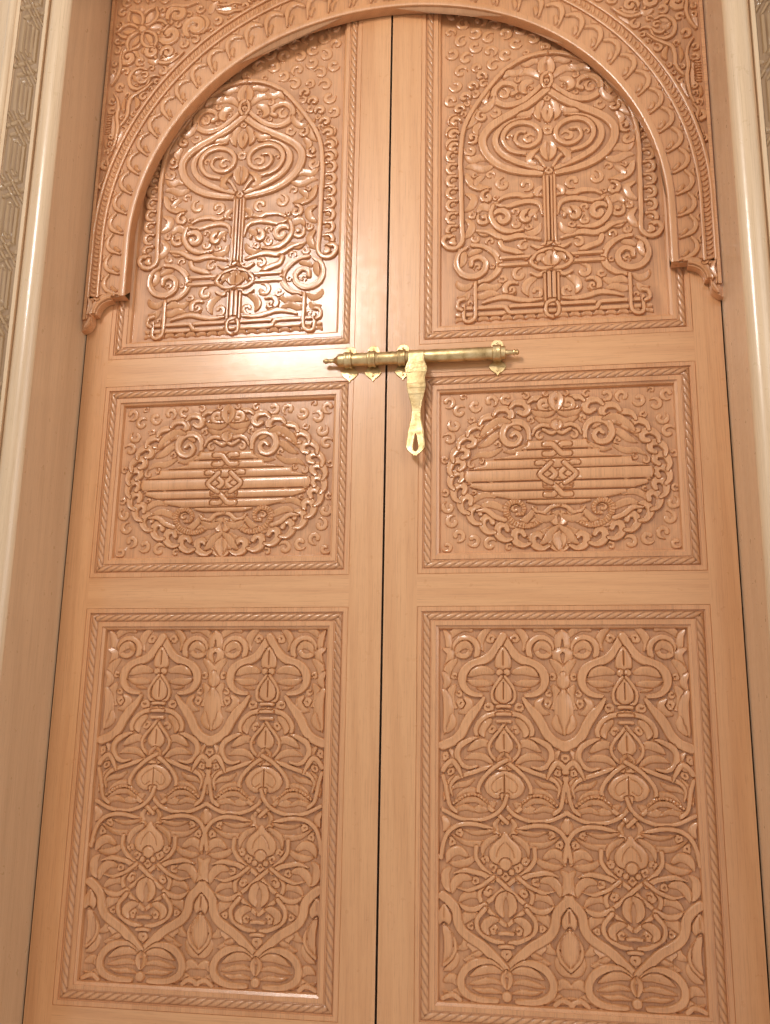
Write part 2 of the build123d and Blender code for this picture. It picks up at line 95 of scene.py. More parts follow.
class Nodes:
    """Short names for making and joining the shader nodes of a material or world."""

    def __init__(self, owner, shader="Principled BSDF"):
        owner.use_nodes = True
        self.owner, self.tree = owner, owner.node_tree
        self.shader = self.tree.nodes[shader]

    def add(self, kind, inputs=(), **settings):
        node = self.tree.nodes.new(kind)
        for key, value in settings.items():
            setattr(node, key, value)
        for key, value in dict(inputs).items():
            self.put(node.inputs[key], value)
        return node

    def put(self, socket, value):
        if hasattr(value, "is_output"):
            self.tree.links.new(value, socket)
        else:
            socket.default_value = value

    def dress(self, **values):
        """Sets the shader's own sockets, named with _ for each space."""
        for key, value in values.items():
            self.put(self.shader.inputs[key.replace("_", " ")], value)
        return self.owner

    def stretched(self, scale, shift=(0, 0, 0)):
        return self.add("ShaderNodeMapping", {"Vector": self.place, "Scale": scale,
                                              "Location": shift}).outputs["Vector"]

    def noise(self, vector, scale, detail=3, rough=0.5, distortion=0.0):
        return self.add("ShaderNodeTexNoise", {"Vector": vector, "Scale": scale, "Detail": detail,
                                               "Roughness": rough, "Distortion": distortion}).outputs["Fac"]

    def ramp(self, fac, stops):
        node = self.add("ShaderNodeValToRGB", {"Fac": fac})
        marks = node.color_ramp.elements
        while len(marks) < len(stops):
            marks.new(0.5)
        for mark, (position, colour) in zip(marks, stops):
            mark.position, mark.color = position, colour
        return node.outputs["Color"]

    def mix(self, fac, a, b):
        node = self.add("ShaderNodeMix", {"Factor": fac, 6: a, 7: b}, data_type="RGBA")
        return node.outputs[2]

    def maths(self, operation, a, b=0.0, clamp=False):
        return self.add("ShaderNodeMath", {0: a, 1: b}, operation=operation, use_clamp=clamp).outputs[0]

    def between(self, value, low, high, to_low=0.0, to_high=1.0):
        return self.add("ShaderNodeMapRange", {"Value": value, "From Min": low, "From Max": high,
                                               "To Min": to_low, "To Max": to_high}).outputs["Result"]

    def bump(self, height, distance, strength):
        return self.add("ShaderNodeBump", {"Height": height, "Distance": distance,
                                           "Strength": strength}).outputs["Normal"]

    def seen(self):
        """1 where the camera looks, straight on or by a reflection or through glass."""
        path = self.add("ShaderNodeLightPath").outputs
        both = self.maths("ADD", path["Is Camera Ray"], path["Is Glossy Ray"], clamp=True)
        return self.maths("ADD", both, path["Is Transmission Ray"], clamp=True)


def new_material(name):
    n = Nodes(bpy.data.materials.new(name))
    coordinates = n.add("ShaderNodeTexCoord").outputs
    n.place, n.facing = coordinates["Object"], coordinates["Normal"]
    return n


def unvarnished_gap_shade(n):
    """1 on the sides of leaves and jambs in the gaps between them, which have no varnish and are painted dark
    as shade in the gaps.
    """
    facing = n.add("ShaderNodeSeparateXYZ", {"Vector": n.facing}).outputs["X"]
    place = n.add("ShaderNodeSeparateXYZ", {"Vector": n.place}).outputs
    sideways = n.maths("GREATER_THAN", n.maths("ABSOLUTE", facing), 0.9)
    deep = n.maths("GREATER_THAN", place["Y"], LEAF_FACE + 2 * MM)
    between = n.maths("LESS_THAN", n.maths("ABSOLUTE", place["X"]), DOORWAY_HALF)
    return n.maths("MULTIPLY", sideways, n.maths("MULTIPLY", deep, between))


def wood(name, along, colours, shift=(0, 0, 0), coat=0.5, roughness=(0.26, 0.42), cavity=False, edges=False):
    """Varnished cedar with its grain along one axis, seamless from one stick to the next."""
    n = new_material(name)
    light, dark, deep = (srgb(*colour) for colour in colours)

    def grain(share):
        return n.stretched(tuple(share if axis == along else 1 for axis in "XYZ"), shift)
    wide = n.noise(grain(0.06), 9, 3, 0.55, 0.4)
    rings = n.add("ShaderNodeTexWave", {"Vector": grain(0.05), "Scale": 16,
                                        "Distortion": 7.5, "Detail": 3, "Detail Scale": 1.2},
                  wave_type="BANDS", bands_direction="DIAGONAL").outputs["Fac"]
    fibre = n.noise(grain(0.018), 520, 3, 0.6)
    pores = n.noise(grain(0.03), 1250, 2, 0.5)
    cloud = n.noise(n.place, 3.1, 2, 0.5)
    base = n.ramp(wide, [(0.28, dark), (0.52, light), (0.78, light)])
    for fac, low, high, share, colour in ((rings, 0.55, 1.0, 0.34, dark), (fibre, 0.50, 0.78, 0.45, deep),
                                          (pores, 0.60, 0.72, 0.35, deep), (cloud, 0.3, 0.7, 0.16, dark)):
        base = n.mix(n.between(fac, low, high, 0.0, share), base, colour)
    rough = n.between(n.noise(n.place, 60, 4, 0.6), 0.3, 0.7, *roughness)
    if cavity:
        shade_and_highlight = n.add("ShaderNodeAttribute", attribute_name="cavity").outputs["Fac"]
        # Painted shade: the colour goes darker in grooves and on the sunk ground; painted highlight: lighter on
        # crests. Grooves are also rougher.
        base = n.mix(n.between(shade_and_highlight, 0.0, 0.5, 0.46, 0.0), base, deep)
        base = n.mix(n.between(shade_and_highlight, 0.55, 1.0, 0.0, 0.30), base, light)
        rough = n.maths("ADD", rough, n.between(shade_and_highlight, 0.0, 0.5, 0.22, 0.0))
    if edges:
        bare_and_shaded = unvarnished_gap_shade(n)
        # The gap sides get a dark brown as painted shade in the gaps, and lose the varnish coat.
        base = n.mix(bare_and_shaded, base, srgb(106, 72, 48))
        rough = n.maths("MAXIMUM", rough, n.maths("MULTIPLY", bare_and_shaded, 0.95))
        coat = n.between(bare_and_shaded, 0.0, 1.0, coat, 0.0)
    height = n.maths("ADD", n.maths("MULTIPLY", fibre, 0.6), n.maths("MULTIPLY", pores, 0.4))
    return n.dress(Base_Color=base, Roughness=rough, Normal=n.bump(height, 0.00022, 0.6),
                   Coat_Weight=coat, Coat_Roughness=0.16)


def brass(name):
    n = new_material(name)
    patches = n.noise(n.place, 46, 5, 0.62, 0.3)
    scratches = n.noise(n.stretched((0.25, 1, 1)), 900, 2, 0.5)
    base = n.ramp(patches, [(0.25, srgb(136, 108, 68)), (0.5, srgb(196, 168, 122)), (0.8, srgb(220, 197, 154))])
    base = n.mix(n.between(scratches, 0.62, 0.75, 0.0, 0.4), base, srgb(120, 84, 42))
    dents = n.maths("ADD", n.noise(n.place, 210, 2, 0.5), n.maths("MULTIPLY", scratches, 0.3))
    return n.dress(Base_Color=base, Roughness=n.between(patches, 0.3, 0.7, 0.5, 0.32),
                   Normal=n.bump(dents, 0.0004, 0.5), Metallic=1.0)


def steel(name):
    n = new_material(name)
    spots = n.noise(n.place, 80, 4, 0.6)
    brushed = n.noise(n.stretched((1, 1, 0.05)), 1500, 2, 0.5)
    return n.dress(Base_Color=n.ramp(spots, [(0.3, srgb(128, 124, 118)), (0.7, srgb(168, 165, 160))]),
                   Roughness=n.between(spots, 0.3, 0.7, 0.5, 0.3), Normal=n.bump(brushed, 0.0001, 0.5),
                   Metallic=1.0)


LEAF_CEDAR = (222, 166, 116), (202, 142, 92), (164, 104, 60)
CARVED_CEDAR = (220, 161, 112), (200, 140, 91), (118, 70, 42)
FRAME_CEDAR = (226, 194, 157), (208, 174, 137), (172, 136, 102)
CASING_CEDAR = (174, 140, 102), (152, 118, 82), (98, 64, 42)
leaf_up = wood("cedar_leaf_upright", "Z", LEAF_CEDAR, edges=True)
leaf_across = wood("cedar_leaf_level", "X", LEAF_CEDAR, (3, 1, 2))
carved = wood("cedar_carved", "Z", CARVED_CEDAR, (5, 2, 1), roughness=(0.28, 0.44), cavity=True)
moulding_wood = wood("cedar_moulding", "Z", CARVED_CEDAR, (2, 4, 1))
arch_wood = wood("cedar_arch", "X", CARVED_CEDAR, (7, 1, 3), coat=0.7)
frame_up = wood("cedar_frame_upright", "Z", FRAME_CEDAR, (1, 6, 2), edges=True)
frame_across = wood("cedar_frame_level", "X", FRAME_CEDAR, (4, 6, 5))
carved_casing = wood("cedar_casing_carved", "Z", CASING_CEDAR, (6, 2, 7), coat=0.3, cavity=True)
brass_finish = brass("worn_brass")
steel_finish = steel("hinge_steel_brushed")


FINISHES = (("head_", frame_across), ("outer_moulding", frame_up), ("keeper", brass_finish),
            ("bolt_rod", brass_finish), ("hasp", brass_finish), ("stile", leaf_up), ("hinge_", steel_finish),
            ("arch_board", arch_wood), ("moulding", moulding_wood), ("panel", carved), ("rail", leaf_across),
            ("", frame_up))

for node_name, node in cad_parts.items():
    for slot in node.material_slots:
        slot.material = next(finish for word, finish in FINISHES if word in node_name)

WARM = (1.0, 0.97, 0.93)
LAMPS = (("key", (-0.85, -2.30, 2.54), (0.1, 0, 1.50), 0.52, 9.5, (1.0, 0.96, 0.90), 84),
         ("fill", (2.4, -2.5, 2.0), (0, 0, 1.4), 2.0, 28, (1.0, 0.96, 0.92), 180),
         ("back", (-2.4, 2.6, 2.2), (0, 0, 1.1), 2.0, 36, WARM, 180))
ROOM_LIGHT, BACKDROP, FLOOR_GLOW = 0.44, 0.95, 0.32


def light_up():
    scene = bpy.context.scene
    scene.view_settings.view_transform = "Standard"
    scene.world = bpy.data.worlds.new("studio")
    n = Nodes(scene.world, "Background")
    n.dress(Color=(1.0, 0.95, 0.88, 1), Strength=n.between(n.seen(), 0, 1, ROOM_LIGHT, BACKDROP))
    for name, place, aim, size, power, colour, spread in LAMPS:
        data = bpy.data.lights.new(name, "AREA")
        data.shape = "SQUARE"
        data.size, data.energy, data.color, data.spread = size, power, colour, math.radians(spread)
        lamp = link(bpy.data.objects.new(name, data))
        lamp.location = place
        lamp.rotation_mode = "QUATERNION"
        lamp.rotation_quaternion = (Vector(aim) - Vector(place)).to_track_quat("-Z", "Y")


def lay_floor():
    n = new_material("pale_floor")
    tones = [(0.3, (0.78, 0.78, 0.78, 1)), (0.7, (0.82, 0.82, 0.82, 1))]
    n.dress(Base_Color=n.ramp(n.noise(n.place, 40, 3, 0.5), tones), Roughness=0.7,
            Emission_Strength=n.maths("MULTIPLY", n.seen(), FLOOR_GLOW), Emission_Color=(*WARM, 1))
    mesh = bpy.data.meshes.new("floor")
    mesh.from_pydata([(-30, -30, 0), (30, -30, 0), (30, 30, 0), (-30, 30, 0)], [], [(0, 1, 2, 3)])
    mesh.materials.append(n.owner)
    link(bpy.data.objects.new("floor", mesh))


light_up()
lay_floor()


def smooth_line(points, spacing=1.0, closed=False):
    """Evenly spaced points on a smooth curve through the given ones."""
    p = np.array(points, dtype=float)
    if closed:
        p = np.vstack([p[-1], p, p[0], p[1]])
    else:
        p = np.vstack([2 * p[0] - p[1], p, 2 * p[-1] - p[-2]])
    pieces = []
    for a, b, c, d in zip(p, p[1:], p[2:], p[3:]):
        count = max(2, int(np.hypot(*(c - b)) / spacing) + 1)
        t = np.linspace(0, 1, count, endpoint=False)[:, None]
        pieces.append(0.5 * (2 * b + (c - a) * t + (2 * a - 5 * b + 4 * c - d) * t ** 2
                             + (3 * b - a - 3 * c + d) * t ** 3))
    return np.vstack(pieces + [p[-2:-1]])


def spiral(centre, start, end, turns, angle, hand=1, count=26):
    """Points of a scroll that winds in from the outer radius to the inner one."""
    t = np.linspace(0, 1, int(count))
    a = np.radians(angle) + hand * turns * 2 * np.pi * t
    r = start + (end - start) * t
    return [(centre[0] + radius * np.cos(b), centre[1] + radius * np.sin(b)) for radius, b in zip(r, a)]


class Relief:
    """A field of heights over a flat ground, built up stroke by stroke, in millimetres."""

    def __init__(self, x0, x1, z0, z1, step, copies):
        self.x = np.linspace(x0, x1, int(round((x1 - x0) / step)) + 1)
        self.z = np.linspace(z0, z1, int(round((z1 - z0) / step)) + 1)
        self.step = (self.x[1] - self.x[0], self.z[1] - self.z[0])
        self.h = np.zeros((len(self.z), len(self.x)))
        self.copies = copies
        self.allowed = None

    def window(self, pts, reach):
        """The part of the grid that lies within reach of some points."""
        (x0, z0), (x1, z1) = pts.min(axis=0) - reach, pts.max(axis=0) + reach
        i0, i1 = np.searchsorted(self.x, (x0, x1))
        j0, j1 = np.searchsorted(self.z, (z0, z1))
        return slice(j0, j1), slice(i0, i1)

    def distance(self, pts, widths, reach):
        """How far each grid point lies from a line, as a share of its half width there."""
        rows, cols = self.window(pts, reach)
        xs, zs = self.x[cols], self.z[rows]
        share = np.full((len(zs), len(xs)), 9.0)
        along = np.zeros_like(share)
        if share.size == 0:
            return rows, cols, share, along
        for k, ((px, pz), w) in enumerate(zip(pts, widths)):
            i0, i1 = np.searchsorted(xs, (px - reach, px + reach))
            j0, j1 = np.searchsorted(zs, (pz - reach, pz + reach))
            d = np.hypot(xs[i0:i1][None, :] - px, zs[j0:j1][:, None] - pz) / w
            old = share[j0:j1, i0:i1]
            near = d < old
            old[near] = d[near]
            along[j0:j1, i0:i1][near] = k
        return rows, cols, share, along

    def stroke(self, points, width, height, taper=(1, 1), form="band", groove=1.5, teeth=0):
        """A carved band: width is half of it, taper its share at either end."""
        for change in self.copies:
            pts = smooth_line([change(*p) for p in points])
            t = np.linspace(0, 1, len(pts))
            shape = np.minimum(1, np.minimum(taper[0] + (1 - taper[0]) * t * 3,
                                             taper[1] + (1 - taper[1]) * (1 - t) * 3))
            if form == "leaf":
                shape = taper[0] + (1 - taper[0]) * np.sin(np.pi * np.clip(t, 0, 1)) ** 0.7
                shape = np.where(t > 0.5, np.sin(np.pi * t) ** 0.8 * (1 - taper[1]) + taper[1], shape)
            widths = np.maximum(width * shape, 0.7)
            rows, cols, u, along = self.distance(pts, widths, width + groove + 1)
            if u.size == 0:
                continue
            edge = groove / np.maximum(widths.mean(), 1)
            top = height * (1 - 0.06 * u ** 2 - 0.5 * np.clip((u - 0.8) / 0.2, 0, 1) ** 2)
            if form == "band" and width > 6:
                top -= height * 0.13 * (1 - np.clip(u / 0.66, 0, 1) ** 2)
            if form == "strap":
                top = height * np.clip((1.05 - u) / 0.4, 0, 1)
            if form == "leaf":
                k = np.clip(along.astype(int), 0, len(pts) - 2)
                (px, pz), (tx, tz) = pts[k].transpose(2, 0, 1), (pts[k + 1] - pts[k]).transpose(2, 0, 1)
                gx, gz = np.meshgrid(self.x[cols], self.z[rows])
                side = (tx * (gz - pz) - tz * (gx - px)) / np.maximum(np.hypot(tx, tz) * widths[k], 0.1)
                if change(1, 0)[0] < change(0, 0)[0]:
                    side = -side
                top *= 0.78 + 0.3 * np.clip(side, -1, 1)
            if form == "dish":
                top -= height * 0.25 * (1 - np.clip(u / 0.62, 0, 1) ** 2)
            if teeth:
                top -= height * 0.35 * (np.sin(along * 2 * np.pi / teeth) > 0.45) * (u < 1.01)
            field = self.h[rows, cols]
            if self.allowed is not None:
                field[:] = np.where((u < 1) & self.allowed[rows, cols] & (field < 0.5), top, field)
                continue
            field[:] = np.where(u < 1, top, np.where(u < 1 + edge, np.minimum(field, 0.45 * height), field))

    def disc(self, centre, radius, height):
        self.stroke([centre, (centre[0] + 0.3, centre[1] + 0.1)], radius, height)

    def plate(self, points, height, edge, groove=1.5, smooth=True):
        """A flat shape inside a closed outline, its edge rounded off."""
        for change in self.copies:
            corners = [change(*p) for p in points]
            pts = smooth_line(corners, closed=True) if smooth else straight(corners)
            rows, cols, d, _ = self.distance(pts, np.ones(len(pts)), edge + 4)
            if d.size == 0:
                continue
            xs, zs = self.x[cols][None, :], self.z[rows][:, None]
            inside = np.zeros(d.shape, dtype=bool)
            for (ax, az), (bx, bz) in zip(pts, np.roll(pts, -1, axis=0)):
                if az == bz:
                    continue
                crossing = (zs >= min(az, bz)) & (zs < max(az, bz))
                inside ^= crossing & (xs < ax + (zs - az) * (bx - ax) / (bz - az))
            u = np.clip(d / edge, 0, 1)
            top = height * (0.5 + 0.5 * np.sqrt(1 - (1 - u) ** 2))
            field = self.h[rows, cols]
            field[:] = np.where(inside, top, np.where(d < groove, np.minimum(field, 0.45 * height), field))

    def groove(self, points, width, depth):
        """A line cut into what stands there."""
        for change in self.copies:
            pts = smooth_line([change(*p) for p in points])
            rows, cols, u, _ = self.distance(pts, np.full(len(pts), width), width + 1)
            if u.size:
                self.h[rows, cols] -= depth * np.clip(1 - u ** 2, 0, 1)

    def clearance(self, free):
        """How far each free grid point is from anything that isn't, by sweeping rows up and down."""
        d = np.where(free, 1e4, 0.0)
        count = np.arange(d.shape[1])
        for order in (range(len(d)), range(len(d) - 1, -1, -1)):
            last = np.full(d.shape[1], 0.0)
            for j in order:
                row = np.minimum(d[j], last + 1)
                row[1:] = np.minimum(row[1:], last[:-1] + 1.41)
                row[:-1] = np.minimum(row[:-1], last[1:] + 1.41)
                row = np.minimum(np.minimum.accumulate(row - count) + count,
                                 np.minimum.accumulate((row + count)[::-1])[::-1] - count)
                d[j] = last = row
        return d * self.step[0]

    def fill(self, region, axis, smallest, largest, height, margin):
        """Curls and leaves in the free places of a region, the largest first."""
        turn = 0
        xs, zs = np.meshgrid(self.x, self.z)
        room = self.clearance((self.h < 0.5) & region(xs, zs))
        self.allowed = room > margin
        picks = np.where(xs >= axis, room, 0)
        while picks.max() >= smallest:
            j, i = np.unravel_index(np.argmax(picks), picks.shape)
            size = min(picks[j, i], largest)
            x, z = self.x[i], self.z[j]
            picks[np.hypot(xs - x, zs - z) < 2.0 * size] = 0
            turn += 137.5
            self.motif(x - axis, z, size, turn, room, axis, height)
        self.allowed = None

    def motif(self, dx, z, size, turn, room, axis, height):
        """A curl where there is room for one, or a leaf along the free direction."""
        if size > 6.5:
            self.stroke(spiral((dx, z), 0.84 * size, 0.36 * size, 0.78, turn, -1 if turn % 2 else 1, 16),
                        0.3 * size, height, taper=(0.2, 1.0))
            return
        best = (0, 0)
        for a in np.radians(np.arange(0, 180, 22.5)):
            reach = 0
            for side in (1, -1):
                for k in range(1, 5):
                    px = axis + dx + side * k * 0.6 * size * np.cos(a)
                    pz = z + side * k * 0.6 * size * np.sin(a)
                    i, j = np.searchsorted(self.x, px), np.searchsorted(self.z, pz)
                    if not (0 < i < room.shape[1] and 0 < j < room.shape[0]) or room[j, i] < 0.4 * size:
                        break
                    reach += 1
            best = max(best, (reach, a))
        a = best[1]
        span = size * (1.2 + 0.28 * best[0])
        c, q = np.cos(a), np.sin(a)
        bow = 0.35 * size
        self.stroke([(dx - span * c, z - span * q), (dx - bow * q, z + bow * c), (dx + span * c, z + span * q)],
                    0.85 * size, height, taper=(0.25, 0.1), form="leaf")


def straight(corners, spacing=1.0):
    """Evenly spaced points on the sides of a closed shape."""
    pieces = []
    for a, b in zip(np.array(corners, dtype=float), np.roll(np.array(corners, dtype=float), -1, axis=0)):
        count = max(2, int(np.hypot(*(b - a)) / spacing))
        pieces.append(a + (b - a) * np.linspace(0, 1, count, endpoint=False)[:, None])
    return np.vstack(pieces)


class Carver:
    """Draws a design on a relief, its leaves and curls in their usual proportions. A leaf's manner is
    its height and tapers; a curl's its inner radius' share, turns, count of points, height and taper."""

    def __init__(self, relief, leaf, curl=None, base=0.0, thin=lambda width: width):
        self.relief, self.leaf_manner, self.curl_manner = relief, leaf, curl
        self.base, self.thin = base, thin

    def band(self, line, width, height, first=1, last=1, **kind):
        points = [(x, z - self.base) for x, z in line]
        self.relief.stroke(points, self.thin(width), height, taper=(first, last), **kind)

    def leaf(self, line, width, height=None):
        usual, first, last = self.leaf_manner
        self.band(line, width, height or usual, first, last, form="leaf")

    def curl(self, x, z, size, turn, hand, height=None, wide=0.34):
        inner, turns, count, usual, first = self.curl_manner
        self.band(spiral((x, z), size, size * inner, turns, turn, hand, count), size * wide,
                  height or usual, first, 0.9)

    def rows(self, table):
        """Carves a table's rows: a kind with its half width or depth, height and tapers, and after the
        colon the points of its line, or a scroll's centre, radii, turns, angle, hand and count. An
        indented row goes on from the one above."""
        for row in table.replace("\n  ", " ").strip().splitlines():
            head, _, tail = row.partition(":")
            kind, *words = head.split()
            if kind == "#":
                continue
            numbers = [float(w) for w in words if "=" not in w]
            extra = {key: float(v) for key, v in (w.split("=") for w in words if "=" in w)}
            line = [tuple(map(float, pair.split())) for pair in tail.split(",") if pair]
            if kind == "scroll":
                x, z, *winding = line[0]
                self.band(spiral((x, z), *winding), *numbers, **extra)
            elif kind == "curl":
                self.curl(*numbers, **extra)
            elif kind == "disc":
                self.relief.disc(numbers[:2], *numbers[2:])
            elif kind == "groove":
                self.relief.groove(line, *numbers)
            elif kind == "plate":
                self.relief.plate(line, *numbers)
            elif kind == "mirrored":
                self.relief.plate(line + [(-x, z) for x, z in line[::-1] if x], *numbers)
            elif kind == "leaf":
                self.leaf(line, *numbers)
            else:
                self.band(line, *numbers, **extra)


def unit_copies(axis, middle=None):
    """Mirror images about an axis, and about the panel's middle where the unit stands twice."""
    copies = [lambda x, z: (axis + x, z), lambda x, z: (axis - x, z)]
    if middle is not None:
        copies += [lambda x, z: (2 * middle - axis - x, z), lambda x, z: (2 * middle - axis + x, z)]
    return copies


LOWER = """
# filling leaves and scrolls, lowest
leaf 7: 54 640, 70 644, 86 636, 98 622
leaf 7.5: 22 644, 34 634, 40 618, 34 604
leaf 7: 102 640, 96 628, 94 612, 100 600
scroll 6.5 7.5 1 .8: 67 608 24 8 1.2 210 -1
leaf 7.5: 54 606, 64 615, 76 610, 82 600
leaf 7.5: 103 608, 92 600, 94 586, 103 574
leaf 8: 82 588, 92 578, 98 566, 94 550
leaf 7: 104 566, 97 552, 103 538
leaf 8.5: 84 544, 92 530, 90 514, 80 506
leaf 7.5: 66 524, 58 514, 64 502, 78 498
leaf 10: 103 536, 96 516, 95 492, 102 462
leaf 7: 88 494, 88 480, 98 464
leaf 9: 22 486, 32 480, 38 470, 34 458
leaf 7: 92 436, 84 424, 92 412, 104 410
leaf 8: 84 392, 92 380, 97 366, 102 352
leaf 6.5: 52 388, 64 380, 78 378, 90 370
leaf 7: 44 370, 58 368, 72 362, 84 352
leaf 8: 16 350, 26 344, 40 340, 56 338
leaf 6.5: 50 336, 64 342, 78 340, 92 342
leaf 7: 104 326, 98 314, 103 302
leaf 6: 8 326, 16 316, 14 304, 6 296
leaf 8.5: 64 264, 78 272, 92 266, 98 252
leaf 7: 50 262, 62 254, 78 250, 94 252
leaf 8: 92 244, 100 234, 98 216, 90 206
leaf 8.5: 58 228, 72 230, 84 220, 88 204
leaf 7: 42 198, 54 204, 68 200, 78 190
leaf 9: 44 172, 58 172, 70 164, 76 152
leaf 8: 70 150, 62 138, 68 124, 82 118
leaf 8: 62 126, 50 118, 54 106, 70 102
leaf 6: 36 120, 46 112, 58 110
leaf 8: 92 122, 84 106, 90 92, 103 84
leaf 8: 78 64, 88 74, 103 68
leaf 7: 62 44, 76 54, 90 48, 104 54
leaf 5: 16 40, 30 44, 46 40, 60 40
# ogee head with its lobes
band 8.5 9.5 .9 .45: 0 630, 8 616, 17 602, 27 592, 42 585, 57 579, 68 568, 71 551, 64 537, 52 530, 38 528
leaf 8.5 8: 17 567, 32 571, 48 568, 60 560
leaf 7 7: 20 548, 34 549, 50 549, 62 553
leaf 4 7: 26 536, 36 538, 46 540
mirrored 8.5 6: 0 612, 9 601, 14 589, 13 576, 0 571
groove 1.5 3: 0 604, 0 590, 0 580
disc 6 567 6 9
mirrored 7 5: 0 560, 10 548, 15 532, 12 520, 0 514
band 3.4 9: 3 560, 10 551, 17 540, 20 529, 17 518, 8 512
groove 1.4 3: 0 550, 0 536, 0 522
# bands that leave the cinched stem
band 9 9.5 .4 1: 34 523, 43 509, 54 496, 64 481, 72 465, 84 452, 104 443
band 5.5 9 1 .5: 3 500, 16 497, 30 493, 42 483, 48 470, 45 458, 36 450
band 6.5 9 .5 .4: 34 451, 50 455, 64 450, 76 441, 80 428, 74 414, 62 407, 46 409
leaf 8 8: 22 442, 34 448, 48 444, 62 434
leaf 7 8: 20 414, 34 424, 52 426, 68 420
mirrored 7.5 5: 0 474, 9 460, 16 446, 12 435, 0 429
groove 1.5 2.5: 0 462, 0 448, 0 438
band 3.6 9: -2 482, 9 467, 20 454, 26 441, 22 428, 12 418, 0 409
leaf 5 8: 0 432, 8 424, 7 414, 0 406
band 5 9 1 .4: 0 404, 14 408, 30 407, 50 400, 66 395, 82 388, 91 376, 88 360
band 5.5 8.5 1 .4: 104 402, 98 411, 88 417, 78 405, 71 390
band 4.5 9: 104 392, 99 374, 96 358, 92 344, 82 334
band 4.6 9.5: -4 420, 12 411, 27 399, 39 385, 44 370, 38 354, 24 340, 10 330, -4 318
# palmette
mirrored 8.5 8: 0 402, 14 399, 27 390, 34 377, 28 364, 14 357, 0 361
groove 1.4 3: 3 394, 16 386, 22 375, 16 366, 6 372
groove 1.4 3: 0 396, 0 378, 0 366
leaf 6.5 8.5: 30 344, 48 354, 66 353, 84 343
band 3 9 teeth=6: 30 352, 46 362, 66 361, 86 348
band 4.4 9.5: -4 362, 2 346, 14 333, 30 325, 50 321, 76 324, 104 337
band 4.8 9.5: -4 286, 10 298, 24 308, 44 314, 66 315, 84 310, 97 298, 104 280, 107 260
leaf 6.5 8.5: 12 297, 28 287, 50 283, 70 286, 90 298
leaf 5.5 8: 18 306, 34 302, 52 301, 70 305
# lotus and lower crossings
mirrored 8 8: 0 304, 9 293, 21 283, 27 270, 23 257, 10 251, 0 255
groove 1.4 3: 2 286, 11 276, 15 264
leaf 6.5 7.5: 12 298, 26 290, 36 278, 38 264
disc 0 252 10 9.5
disc -10 240 5 8
band 4.6 9.5: 48 278, 48 261, 38 246, 26 236, 12 227, -4 214, -20 200, -32 190, -42 174
band 4.6 9: 24 231, 35 220, 43 207, 41 194, 31 182, 17 170, 2 158
band 5.5 9 1 .3: 22 226, 36 235, 52 239, 68 241, 86 236
band 4 8.5 1 .3: 20 232, 38 219, 52 213, 64 210, 80 213
band 5.5 9 1 .3: 34 188, 52 181, 66 182, 80 190
leaf 8 7.5: 0 208, 9 198, 11 184, 4 170
band 4.8 9.5: 34 182, 47 166, 47 152, 36 141, 22 134, 6 131
leaf 8 7.5: 14 166, 26 164, 35 154, 28 142
band 8.5 9.5: 104 200, 92 191, 82 178, 79 160, 71 146, 57 136, 40 126, 26 114, 14 102, 4 92
# lower ogee between the units
plate 8.5 6: 102 188, 110 178, 115 166, 110 155, 102 160, 94 155, 89 166, 94 178
groove 1.4 3: 102 182, 102 166
band 4 8.5: 102 154, 90 140, 83 124, 88 108, 102 94
leaf 8 8: 102 152, 96 136, 95 118, 102 98
# eye shapes and outer lobes at the bottom
band 7 9.5 .6 .6: 2 82, 14 93, 30 101, 50 99, 66 89, 74 74, 72 59, 60 49, 40 44, 16 44
leaf 7.5 8: 8 86, 24 90, 42 87, 60 78
leaf 6.5 7.5: 8 70, 26 73, 44 70, 62 66
leaf 5.5 7.5: 8 55, 24 58, 42 57, 56 60
disc 0 50 8 9
leaf 5 8: 0 90, 6 80, 5 70, 0 60
band 5 8: 76 42, 86 49, 96 47, 104 43
"""
STEM_RINGS = (509, 496, 484, 145, 125)


def lower_panel_relief(step):
    """Two mirrored units of interlaced bands and leaves, each the same left and right."""
    r = Relief(40, 464, 38, 644, step, unit_copies(150.0, 252.0))
    carver = Carver(r, (7.5, 0.35, 0.08), thin=lambda width: width * (0.8 if width < 7 else 0.94))
    carver.rows(LOWER)
    for z in STEM_RINGS:
        carver.band([(-11, z), (0, z + 0.6), (11, z)], 3.6, 10)
    r.fill(lambda x, z: (x > 43) & (x < 461) & (z > 40) & (z < 642), 150.0, 7.0, 12, 4.6, 2.2)
    r.h *= 0.64
    r.h = np.maximum(r.h, r.h[:, ::-1])
    return r


